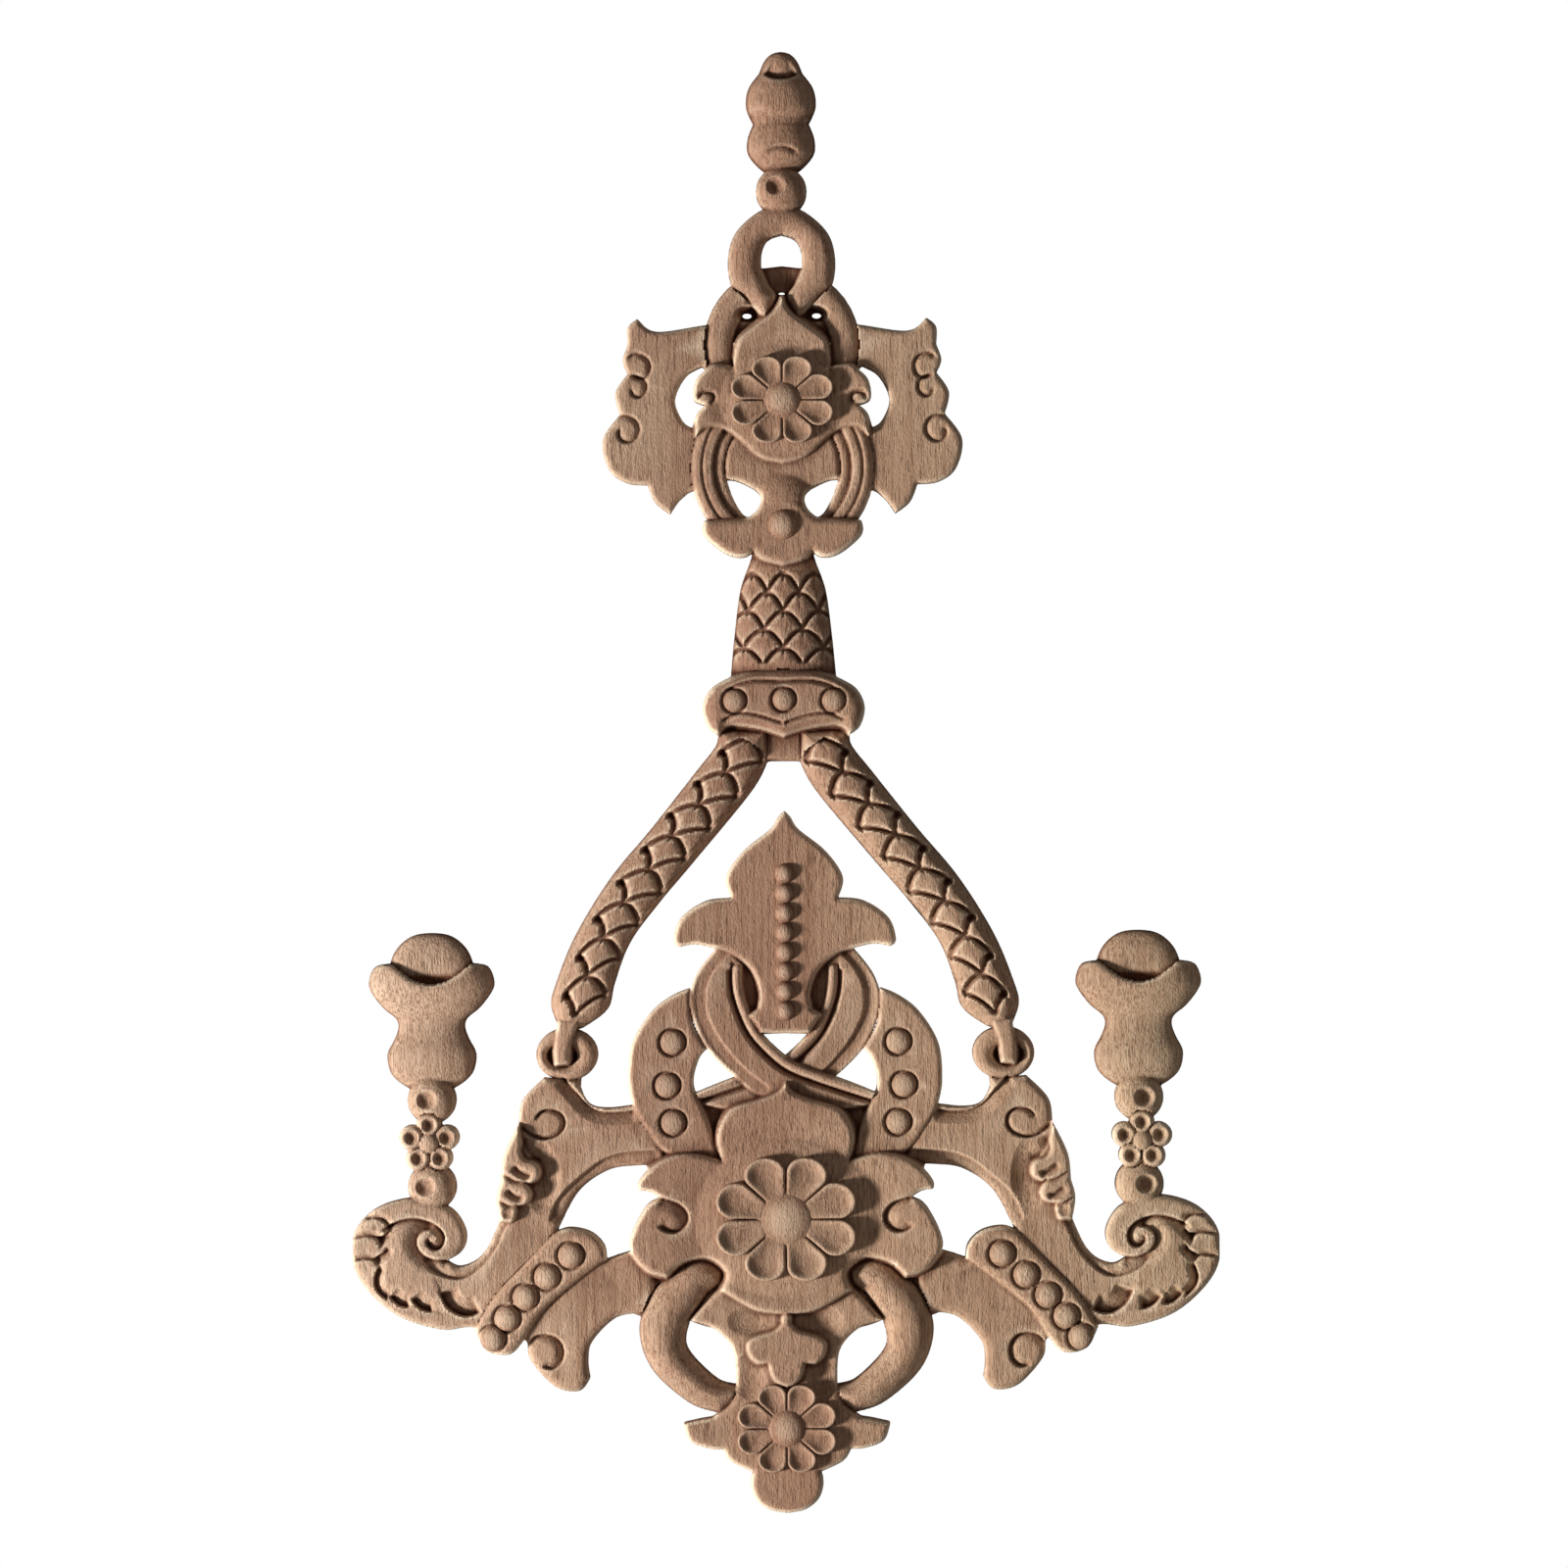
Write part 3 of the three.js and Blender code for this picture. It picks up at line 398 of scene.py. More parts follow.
pierce(oval(8.9, 229.7, 1.2, 0.7))
pierce(oval(0, 235.3, 0.9, 0.45))
tell("upper medallion")

# %% [markdown]
# ## The top: bead and bud
# The bud looks turned on a lathe, so its section is half an oval at every height. The bead under it
# is a round plate whose edge is rounded almost to its middle, with a dimple in it.

# %% Bead and bud
BUD = across(
    [[0, DRAWING_TOP], [2.3, 296.5], [4.2, 294.6], [5.6, 291.4]],
    [[8.2, 287.8], [9, 284], [8.5, 281.5], [7.1, 278.6]],
    [[8.6, 274.5], [8.2, 270.5], [4, 266.2], [0, 265.5]],
)
turned(0, BUD, foot=4.2, depth=0.62)
cut(smooth([[-8, 280.6], [-3, 280], [3, 280], [8, 280.6]]),
    depth=0.7, left=2.4, right=2.0, sides=(RIGHT,), fade=0.5)
cut(smooth([[-3.6, 271.4], [-1, 272.5], [2, 272.4], [4.4, 270.9]]),
    depth=0.9, left=0.5, right=1.6, sides=(RIGHT,))
cut(smooth([[-4.2, 291.4], [-2, 290.3], [1.5, 290.2], [4.2, 291.2]]),
    depth=2.4, left=5.0, right=0.5, sides=(RIGHT,), fade=1)
plate(oval(0, 261.3, 6.5, 6.4), level=10.2, run=6.3, drop=4.4, grown_in=True)
bulge((-1.5, 262.5), (2.5, 2.4), rise=-2.0, sides=(RIGHT,))
tell("bead and bud")

# %% [markdown]
# ## Neck, collar and ropes
# The neck and the ropes are rolls wrapped in scales. Their lines are one pattern: arches that start
# from a row of tips, half a scale apart from row to row. It is drawn in the roll's own measures, along
# it and across it, so it bends with the rope. Each line is a groove, and the middle of each scale is
# left a little higher.

# %% A net of scales


def scale_lines(along, offset, pitch, half, arch):
    """How far each place is from the nearest line of a net of scales; arch 0 is straight, 1 round."""
    nearest = np.full(along.shape, 9.0)
    column = offset / half
    for odd in (0, 1):
        middle = 2 * np.round((column - odd) / 2) + odd
        away = np.minimum(np.abs(column - middle), 1)
        line = along / pitch - odd / 2 - (arch * away**2 + (1 - arch) * away) / 2
        slope = pitch / half * (arch * away + (1 - arch) / 2)
        nearest = np.minimum(nearest, np.abs(line - np.round(line)) * pitch / np.sqrt(1 + slope**2))
    return nearest


def engrave(lines, allowed, where, sides, depth, width):
    groove = depth * np.sqrt(np.clip(1 - lines / width, 0, 1)) * allowed
    puff = 0.3 * np.clip(lines / 2.2, 0, 1) * allowed
    for part, cut_out in views(height, where, sides):
        part += (puff - groove)[cut_out]


# %% Neck
NECK = across([[0, 172], [7, 172]], [[8.3, 167], [10.9, 159.5], [12.5, 147.5], [13.6, 136]], [[0, 136]])
turned(0, NECK, foot=4.4, depth=0.42)
where = window(NECK, 0, BOTH)
x, y = np.broadcast_arrays(XS[where[1]][None, :], YS[where[0]][:, None])
wide = np.interp(y, [136, 147.5, 159.5, 167], [5.0, 5.1, 4.0, 3.8])
lines = scale_lines(163.5 - y, x, 9.45, wide, 0.95)
shown = np.clip((164.6 - y) / 0.8, 0, 1) * np.clip((y - 140.6) / 0.8, 0, 1)
engrave(lines, shown, where, BOTH, depth=1.4, width=0.7)
tell("neck")

# %% Moustache
MOUSTACHE = across(
    [[0, 184], [3, 183], [5.2, 181.5]],
    [[8.8, 178.1], [14.5, 177.8], [20.1, 177.2]],
    [[20.3, 173.8], [16.1, 169.8], [12.5, 168], [9.4, 168], [7.6, 169.3]],
    [[5, 167.1], [0, 165.6]],
)
bulge((0, 182), (8, 7), rise=2.4, sides=(RIGHT,))
plate(MOUSTACHE, level=11.0, run=2.2, drop=2.2, grown_in=True)
tell("moustache")

# %% Block between the ropes
ROPE_BLOCK = across([[0, 126], [5.4, 126]], [[5.2, 116.6], [3.4, 115.8]], [[0, 115.8]])
plate(ROPE_BLOCK, level=6.8, run=1.6, drop=1.4)

# %% Ropes
ROPE = trace(
    [[16.8, 124], [16.8, 122.1], [17.6, 119.4], [22.5, 113.2], [33.9, 98.8], [44.4, 86.2],
     [53.4, 71.7], [58.6, 59], [59.7, 53.6], [57.8, 48.2]],
    [[54.8, 47.2], [51.5, 48]],
    [[45.3, 52.7], [43.4, 59.5], [39.5, 69.6], [32.2, 79.5], [22.7, 90.7], [8.3, 108.1], [4, 116]],
    [[4, 124]],
)
ROPE_NODES = [
    [8.9, 121.5], [14.6, 113.4], [21.3, 105.2], [28.4, 97], [34.4, 88.5],
    [40.9, 79.9], [46.3, 70.8], [50.3, 61.4], [53.4, 52.2],
]
ROPE_PITCH = 10.5
plate(ROPE, level=9.6, run=6.6, drop=4.6)
nodes = smooth(ROPE_NODES)
where = window(nodes, 9, BOTH)
offset, along = beside(nodes, where)
inner = offset < 0
half = np.where(inner, 5.9, 4.1)
lines = scale_lines(along - 0.36 * offset, offset, ROPE_PITCH, half, 0.8)
allowed = np.clip((half * 1.12 - np.abs(offset)) / 0.8, 0, 1) * (along > 0.5) * (along < 84)
engrave(lines, allowed, where, BOTH, depth=1.7, width=0.85)
for (ax, ay), (bx, by) in zip(ROPE_NODES, ROPE_NODES[1:]):
    middle, step = np.array([ax + bx, ay + by]) / 2, np.array([bx - ax, by - ay]) / ROPE_PITCH
    bulge(middle + 3.6 * step[::-1] * (-1, 1) + 1.9 * step, (1.5, 1.3), rise=-1.5)
tell("ropes")

# %% Collar
COLLAR = across(
    [[0, 139.4], [8.7, 138.8], [13.7, 137.3]],
    [[18.5, 134.4], [20.7, 129.7], [19.5, 124.7], [16.7, 122.4]],
    [[13.7, 124.9], [6.2, 124], [0, 122]],
)
plate(COLLAR, level=12.2, run=4.2, drop=3.6)
COLLAR_TOP_LINE = [[-14.5, 134], [-10.7, 135.7], [-6.2, 136.6], [0, 136.3], [6.2, 136.6], [10.7, 135.7],
                   [14.5, 134]]
cut(smooth(COLLAR_TOP_LINE), depth=1.2, left=0.6, right=1.4, sides=(RIGHT,))
COLLAR_FOOT_LINE = [[-15.8, 126.2], [-12, 128], [-8.7, 128.1], [-5, 127.3], [0, 125.6]]
to_middle = smooth(COLLAR_FOOT_LINE)
from_middle = smooth([[-x, y] for x, y in COLLAR_FOOT_LINE[::-1]])
for line in (to_middle, from_middle):
    cut(line, depth=1.2, left=0.6, right=1.2, sides=(RIGHT,), fade=0.8)
tell("collar")

# %% [markdown]
# ## Hook rings
# Each rope ends in a narrow strap that goes down through a small ring. The ring is round in section,
# and a thin floor of wood is left in its hole beside the strap.

# %% Hook rings
plate(trace([[52, 38], [52.4, 31]], [[58, 31]], [[58, 36]]), level=7.0, run=1, drop=0.8)
plate(oval(56.8, 40.8, 4.6, 3.4), level=2.4, run=1, drop=0.5)
plate(oval(55.7, 41.2, 7.9, 6.75), level=7.8, run=3.2, drop=2.0, holes=[oval(57, 40.8, 4.1, 2.9)])
STRAP = trace([[52.6, 50], [54.6, 44], [55.4, 39]], [[58.6, 38.6]], [[58.8, 44], [57.8, 50]])
plate(STRAP, level=9.0, run=1.4, drop=1.0)
tell("hook rings")

# %% [markdown]
# ## Arms
# An arm swings out from the middle and ends in the volute, all one plate, with a step along its lower
# edge, a hollow along its upper one and a scroll cut at its shoulder. A lower wing curls away under it.
# A row of leaf lobes runs down the outside of the arm, like the edge of an acanthus leaf.

# %% Arm
ARM = trace(
    [[30, 12.8], [37.9, 12.8], [45.4, 11.6], [52.9, 6.2], [58.2, -3.5]],
    [[52, -12]],
    [[66.8, -31.4]],
    [[79.7, -28.3], [88.2, -28.8], [100.1, -24.7], [109.3, -15.3], [110.6, -5.4], [105.5, 1.6], [96, 4.7],
     [87.5, 3], [83.7, 0.2], [81.6, -4.6], [82.7, -8.8], [86.7, -11.3]],
    [[83.5, -12.8], [79.2, -11.3], [76, -7.6], [73, -1]],
    [[73.8, 4.4], [72.7, 8.9]],
    [[71.9, 15.6], [68.1, 23.6]],
    [[67.1, 29.6], [61.6, 35.3]],
    [[52.9, 34.4]],
    [[50.4, 28.9], [45.4, 27.5], [36, 28.6]],
)
plate(ARM, level=8.6, run=2.2, drop=1.9)
ARM_STEP = smooth([[60.8, -1.5], [59.2, 3.2], [56.4, 7], [51.3, 11.4], [46.9, 14.6], [41.2, 16.5],
                   [31.7, 17.1]])
step_down(ARM_STEP, depth=1.3, soft=0.6, reach=7)
cut(smooth([[57, 35.5], [55.2, 33.5], [52.9, 31], [50.8, 28.5], [47.8, 26.8], [43.3, 26.3], [38, 26.8]]),
    depth=1.9, left=3.2, right=0.5, power=1)
ARM_SCROLL = smooth([[68, 23.3], [66.1, 21.4], [64.1, 20.2], [61.6, 19.7], [59.1, 20.2], [57.2, 21.4],
                     [56.2, 23.6], [56.9, 25.8], [58.6, 27], [60.9, 27.2], [62.8, 26.3], [64, 24.6]])
cut(ARM_SCROLL, depth=1.6, left=0.45, right=1.5)
tell("arms")

# %% Lower wing
LOWER_WING = trace(
    [[34, -8]],
    [[40.6, -9.4], [45.8, -11.1]],
    [[48, -9]],
    [[70, -30]],
    [[66.4, -31.9], [65.4, -36.7], [59.2, -43.5], [53, -44.7], [50.2, -41.6]],
    [[50.7, -37.1], [49.6, -32.1], [43.6, -26.1], [37, -24.8]],
    [[33, -25]],
)
plate(LOWER_WING, level=8.0, run=2.6, drop=1.8)
LOWER_SCROLL = smooth([[65.8, -33], [64.4, -31], [61.6, -30.3], [58.6, -31.2], [57, -33.8], [57.4, -37],
                       [59.6, -38.8], [62.4, -38.4]])
cut(LOWER_SCROLL, depth=1.6, left=2.4, right=0.6)
tell("lower wings")

# %% Leaf lobes on the arm
LEAF = trace(
    [[68.1, 23.6], [67.2, 19.3], [67.4, 16.8], [66.4, 14.8], [64.2, 14], [62.9, 13], [62.4, 11.3],
     [63.2, 9.5], [65.2, 8.5], [66.4, 8.8]],
    [[65.4, 7.5], [64.7, 5.8], [65.4, 3.8], [67.2, 3], [68.5, 2.8]],
    [[68.7, 0.6], [69.7, -1.4], [72.9, -1.2]],
    [[73.8, 4.4], [72.7, 8.9]],
    [[71.9, 15.6], [68.1, 23.6]],
)
bulge((61.8, 9.5), (4.6, 9.5), rise=-1.6)
cut(smooth([[66.9, 20.5], [66.3, 17.6], [64.6, 15.2], [62.2, 13.6]]), depth=1.0, left=0.5, right=2.6)
plate(LEAF, level=11.2, run=1.3, drop=2.0)
cut(smooth([[69.6, 12.9], [67.4, 11.2], [64.6, 10.2]]), depth=1.5, left=1.5, right=1.1, fade=1, power=0.8)
cut(smooth([[71.2, 6.9], [68.8, 5.2], [66.6, 4.8]]), depth=1.4, left=1.5, right=0.9, fade=1, power=0.8)
bulge((70.9, 0.9), (1.8, 1.6), rise=-0.9)
cut(smooth([[66.2, 8.9], [69, 9.2], [72.6, 11.4]]), depth=1.2, left=0.5, right=1.4)
cut(smooth([[68.3, 2.9], [70.6, 2.8], [73.8, 4.8]]), depth=1.4, left=0.5, right=1.4)
tell("leaf lobes")

# %% [markdown]
# ## Volutes
# The outer end of each arm rolls up into a volute. Two curved cuts wind in to a tight eye, so that the
# wood between them reads as a roll. Along the outer edge, short cuts and deep pockets make leaf lobes.

# %% Coil of the volute
bulge((95, -11), (12, 13), rise=0.9)
EDGE_BAND = smooth([[93, -10.4], [91, -13], [88.8, -14.5], [86, -15.5], [83, -15.7], [80.5, -14.8],
                    [78, -12.8], [75.5, -10.1], [73.5, -6.9], [72.3, -3.9], [71, -1.7]])
cut(EDGE_BAND, depth=1.3, left=0.5, right=3.0)
COIL = smooth([[85.8, -11.0], [89.6, -11.0], [92.6, -9.7], [94.2, -7.2], [93.9, -4.8], [92, -3.4],
               [89.8, -3.0]])
cut(COIL, depth=2.0, left=0.5, right=4.0)
SCROLL = smooth([[103, -3.4], [100.3, -1.8], [97.4, -0.8], [94.4, -0.5], [91.3, -1.3], [89.1, -2.4],
                 [87.4, -4.4], [87.3, -6.6], [88.6, -8.2], [90.6, -8.1], [91.7, -6.6], [91.2, -5.3]])
cut(SCROLL, depth=2.3, left=3.2, right=0.5, fade=2)

# %% Lobes and pockets of the volute
LOBES = [
    [[101.2, -3.2], [102.4, -1.2], [104.6, -0.2], [107.4, -0.6]],
    [[103.6, -8.0], [103.6, -6.2], [105.2, -5.0], [107.4, -4.9], [110.2, -5.5]],
    [[104.0, -12.6], [105.0, -11.0], [107.2, -10.6], [110.2, -11.2]],
]
for lobe in LOBES:
    cut(smooth(lobe), depth=1.6, left=2.0, right=0.5, fade=1.2)
POCKETS = [
    ([[101.4, -3.6], [102.7, -5.0], [104.6, -5.2]], 2.2, 2.0),
    ([[101.8, -7.6], [102.6, -9.2], [105.0, -10.6]], 2.2, 2.0),
    ([[103.7, -12.4], [104.9, -15.6], [104.4, -18.6], [101.6, -21.2]], 2.2, 2.2),
    ([[101.4, -20.0], [98.8, -22.4], [96.0, -22.9]], 2.6, 3.6),
    ([[95.8, -20.8], [93.4, -23.3], [90.2, -24.2]], 2.6, 3.8),
    ([[88.4, -19.2], [86.8, -22.6], [83.8, -24.8], [80.8, -25.2], [78.0, -24.2]], 3.0, 4.8),
]
for pocket, depth, width in POCKETS:
    cut(smooth(pocket), depth=depth, left=0.4, right=width, fade=1.2, power=0.8)
tell("volutes")

# %% [markdown]
# ## Finials and their chains
# A finial is a small cup with a wavy lip, and a round end shows behind the lip. It stands on a bead
# with a dimple, a five-petalled flower and another bead.

# %% Finials
FINIAL_X = 90.3
FINIAL_HALF = [
    [14.4, 63.7], [16, 59.8], [15.2, 57], [12.3, 53.2], [9, 50.4], [8.5, 48], [9.6, 45], [11.3, 41.4],
    [10.6, 37], [8.4, 34.4], [5.6, 32.6],
]
right_side = smooth([[10.4, 64.6], *FINIAL_HALF])
FINIAL = np.concatenate([right_side, right_side[::-1] * (-1, 1)]) + (FINIAL_X, 0)
LIP = smooth([[10.4, 64.6], [7.4, 62.2], [4.9, 60.5], [2.4, 59.6], [0, 59.2], [-2.4, 59.6], [-4.9, 60.5],
              [-7.4, 62.2], [-10.4, 64.6]])
CUP = np.concatenate([right_side, right_side[::-1] * (-1, 1), LIP[::-1]]) + (FINIAL_X, 0)
DOME = smooth([[10.6, 62], [10.4, 65], [8.6, 68.6], [5, 71.5], [0, 72.3], [-5, 71.5], [-8.6, 68.6],
               [-10.4, 65], [-10.6, 62]])
plate(np.concatenate([DOME, [[-9, 57], [9, 57]]]) + (FINIAL_X, 0), level=7.6, run=7, drop=3.2)
where = window(CUP, 4.5, BOTH)
inside = inside_by(CUP, where)
reach = np.abs(XS[where[1]][None, :] - FINIAL_X)
shape = 4.6 + 0.36 * np.sqrt(np.clip(half_widths(FINIAL_X, FINIAL)[where[0]] ** 2 - reach**2, 0, None))
lip = np.clip(1 - np.abs(beside(LIP + (FINIAL_X, 0), where)[0]) / 1.6, 0, 1)
shape = np.minimum(shape + 0.4 * np.clip((YS[where[0]][:, None] - 54) / 8, 0, 1) - 0.8 * lip**2, 10.6)
stand(shape, where, inside, BOTH, edge_level=5.0)
tell("finials")

# %% Beads and five-petalled flowers under them
for bead_y, dimple_x in ((29.75, 91.5), (7.6, 91.9)):
    plate(oval(FINIAL_X, bead_y, 6.2, 6.2), level=9.8, run=6, drop=4.2, grown_in=True)
    bulge((dimple_x, bead_y), (2.7, 2.5), rise=-2.2)
for k in range(5):
    turn = math.pi / 2 + 2 * math.pi * k / 5
    petal = (91 + 4.7 * math.cos(turn), 18.7 + 4.7 * math.sin(turn))
    plate(oval(*petal, 3.2, 3.2), level=8.9, run=1.6, drop=1.8)
    bulge(petal, (1.9, 1.9), rise=-1.5)
plate(oval(91, 18.7, 2.5, 2.5), level=9.6, run=2.4, drop=1.6)
tell("chains")

# %% [markdown]
# ## Stud plates and bands
# Two curved plates stand beside a pair of bands that cross. The band that starts at the upper left lies
# over the other, so it is drawn last, with all its lines. A band is a flat moulding: a narrow step along
# its outer edge, a smooth hollow, and a thin roll along its inner edge. The lower ends of the bands run
# behind the stud plates, so the lower part of each plate is stood once more, over them.

# %% Stud plates and stud bars
STUD_PLATE = trace(
    [[24.3, 58], [29, 56], [34.3, 51.8], [39.1, 43.8], [40, 34], [38.6, 27]],
    [[36.9, 24], [33.2, 18.5], [29.7, 15.5]],
    [[16.7, 14.4]],
    [[20, 25], [23.4, 33], [22.1, 39.7], [20, 42.5]],
    [[23.5, 49], [24.3, 58]],
)
plate(STUD_PLATE, level=9.2, run=1.5, drop=1.3)
STUD_BAR = trace(
    [[59.7, -4.6], [55.5, -3], [50, -4.1], [46.5, -7.4], [45.8, -11.1]],
    [[54.3, -17.5], [61.8, -24], [66.8, -31.4]],
    [[70.6, -35.2], [76.6, -34.2], [79.6, -28.6]],
    [[74.3, -19.9], [66.8, -12], [59.7, -4.6]],
)
plate(STUD_BAR, level=9.7, run=2.2, drop=1.9)
tell("stud plates and bars")

# %% The two bands
BAND = trace(
    [[15.5, 70], [17.7, 67.9], [23, 60.7], [24.2, 53], [19.8, 42.4], [9.2, 32.1]],
    [[0, 27]],
    [[-14, 27]],
    [[-23.4, 28.6]],
    [[-23.6, 31]],
    [[-14.6, 34.6], [-4.4, 38.2], [0.6, 41.2], [6.3, 46.9], [9.2, 52.4], [10.7, 58], [10.9, 64]],
)
STEP = smooth([[3.4, 32.3], [9.6, 37.1], [12.8, 40.4], [15.8, 44.1], [18, 47.7], [19.5, 51.2], [20, 55.2],
               [19.5, 58.9], [18, 62.2], [15.8, 65], [13.3, 67.4]])
VALLEY = smooth([[13.9, 62], [13.6, 57], [11.9, 51.3], [8.8, 45.2], [2.7, 38.8], [-2.9, 35.5], [-13.5, 31.8],
                 [-23, 28.7]])
RIB = smooth([[12.2, 63], [12, 57.6], [10.3, 51.9], [7.4, 46.2], [1.5, 40.2], [-3.8, 37.1], [-14.2, 33.4],
              [-23.4, 30.4]])
for side, band_level in ((RIGHT, 8.4), (LEFT, 9.4)):
    plate(BAND, level=band_level, run=1.1, drop=1, sides=(side,))
    step_down(STEP[::-1], depth=0.9, soft=0.5, reach=4.5, sides=(side,))
    cut(VALLEY, depth=1.9, left=1.2, right=3.4, sides=(side,), fade=0, power=1)
    roll(RIB, width=2.4, level=band_level + 0.3, foot=band_level - 1.0, sides=(side,))

where = window(STUD_PLATE, 4.5, BOTH)
inside = inside_by(STUD_PLATE, where)
over_bands = np.where(YS[where[0]][:, None] < 37, inside, -9)
stand(rounded(inside, level=9.2, run=1.5, drop=1.3), where, over_bands, BOTH, edge_level=7.9)
tell("bands")

# %% [markdown]
# ## In front: fleur, medallion, tubes and lower body
# The front layers cover what is behind them. The tubes are round in section and tuck under the
# medallion, and the lower body is hollowed beside the small leaf to let it stand out.

# %% Fleur
FLEUR = across(
    [[0, 103.2], [1.6, 101.6], [3.6, 98.5], [10.6, 92.8], [14.9, 86.3], [13.7, 81]],
    [[20.2, 80.2], [26.5, 75.9], [28.4, 70.2], [26.9, 68.5]],
    [[22.7, 69.2], [17.7, 68.1]],
    [[13.9, 66.9], [8.7, 62.8], [6.4, 57], [7, 52.6]],
    [[9.4, 51.2]],
    [[6.2, 46.6]],
    [[0, 46.7]],
)
plate(FLEUR, level=10.6, run=1.6, drop=1.6)
tell("fleur")

# %% Tubes and lower body
TUBE = trace(
    [[16.4, -17.6], [15.7, -14], [20, -10.8], [25.5, -11.4], [30.5, -15.6]],
    [[34.8, -20.2], [37.6, -29.2], [34.4, -39.2], [25, -47.8], [17, -50.6]],
    [[10, -46]],
    [[12.9, -43.4]],
    [[18.1, -41.6], [25.3, -33.8], [24.6, -26.8]],
    [[20, -20]],
)
LOWER_BODY = across(
    [[0, -18], [16.5, -18]],
    [[24.6, -26.8]],
    [[18.6, -28.8], [13.6, -34.4], [12.9, -43.4]],
    [[14.4, -47.9], [18.9, -51.6]],
    [[21.9, -52.1], [26.4, -53.1]],
    [[24.7, -57.6], [19.4, -59.6], [16.4, -59.6]],
    [[14.4, -62.7], [8.7, -65.5]],
    [[9.3, -68.4], [8.1, -72.3], [4.6, -75.1], [0, DRAWING_FOOT]],
)
plate(TUBE, level=10.4, run=6.2, drop=5.4)
plate(LOWER_BODY, level=9.2, run=1.8, drop=1.6)
bulge((9, -27), (6, 4), rise=-1.4)
bulge((9.5, -41), (4.5, 6), rise=-1.8)
CROSS_LEAF = across(
    [[0, -24], [1.3, -25.7], [1.3, -27.5]],
    [[3, -29.2], [5.3, -30], [8.1, -30.9], [10.1, -32.4], [10.1, -34.7], [9.1, -36.4], [7.3, -37.7],
     [4.8, -37.7]],
    [[4.1, -40.5], [3.1, -42.2], [1.6, -43.2], [0, -43.7]],
)
plate(CROSS_LEAF, level=11.8, run=1.3, drop=1.5)
tell("tubes and lower body")

# %% Medallion
MEDALLION = across(
    [[0, 34], [2.1, 31.5], [6.6, 29.6], [14, 27.1], [17.4, 20.6], [16.4, 14.1]],
    [[24.2, 15.9], [30.4, 14.8], [35.2, 11.6], [37.8, 8.2], [37.4, 6.6]],
    [[34.6, 6.2], [32, 4.5]],
    [[36, 2], [40, -7.2], [36, -13.7], [30.5, -15.5]],
    [[26.5, -12], [20, -10.8], [15.4, -14.5], [16.5, -19.1]],
    [[8.1, -23.9], [0, -25.2]],
)
plate(MEDALLION, level=12.0, run=1.7, drop=1.7)
cut(closed(oval(0, -0.8, 23.5, 20.5, 60)), depth=0.8, left=6, right=7, sides=(RIGHT,), fade=0, power=1.2)
MEDALLION_SCROLL = smooth([[32.6, 4.7], [29.7, 4], [27.2, 3], [25.5, 1.2], [25, -0.8], [26, -2.8], [28, -4],
                           [30.5, -3.8], [32.5, -2.5]])
cut(MEDALLION_SCROLL, depth=1.8, left=3.6, right=0.6)
tell("medallion")

# %% [markdown]
# ## Sockets for the studs
# Every stud stands in a ring-shaped groove. The studs themselves come later, so only the grooves are
# cut here, at the same places.

# %% Grooves round the studs
PLATE_STUDS = [[28.8, 44.2], [30.2, 33.2], [28.7, 23.7]]
BAR_STUDS = [[55, -10], [61.1, -15.4], [66.6, -20.6], [71.3, -26], [75, -31.2]]
COLLAR_STUDS = [[-12.6, 131.2], [0, 131.5], [12.6, 131.2]]


def socket(x, y, radius, depth, sides=BOTH):
    cut(closed(oval(x, y, radius, radius)), depth=depth, left=0.6, right=0.6, sides=sides, fade=0, power=1)


for x, y in PLATE_STUDS:
    socket(x, y, radius=3.4, depth=1.2)
for x, y in BAR_STUDS:
    socket(x, y, radius=3.5, depth=1.0)
for x, y in COLLAR_STUDS:
    socket(x, y, radius=3.1, depth=1.1, sides=(RIGHT,))
print("sockets", 2 * len(PLATE_STUDS) + 2 * len(BAR_STUDS) + len(COLLAR_STUDS))

# %% [markdown]
# ## From heights to a mesh
# Inside the outline each grid cell becomes two triangles. Cells that the outline crosses are cut along
# it, so the edge follows the drawing and not the grid. The edge goes straight back to the flat back,
# which is filled.

# %% Heights held inside the board
THICKEST = -low[1] / MM - 0.02
THINNEST = 1.0
level = np.clip(height, THINNEST, THICKEST)
# A grid point that lies on the outline itself is moved off it by a tenth of a cell.
NUDGE = 0.1 * CELL
solid = np.where(np.abs(solid) < NUDGE, np.where(solid > 0, NUDGE, -NUDGE), solid)
print("face from", level[solid > 0].min().round(1), "to", level[solid > 0].max().round(1), "mm")

# %% The board's mesh


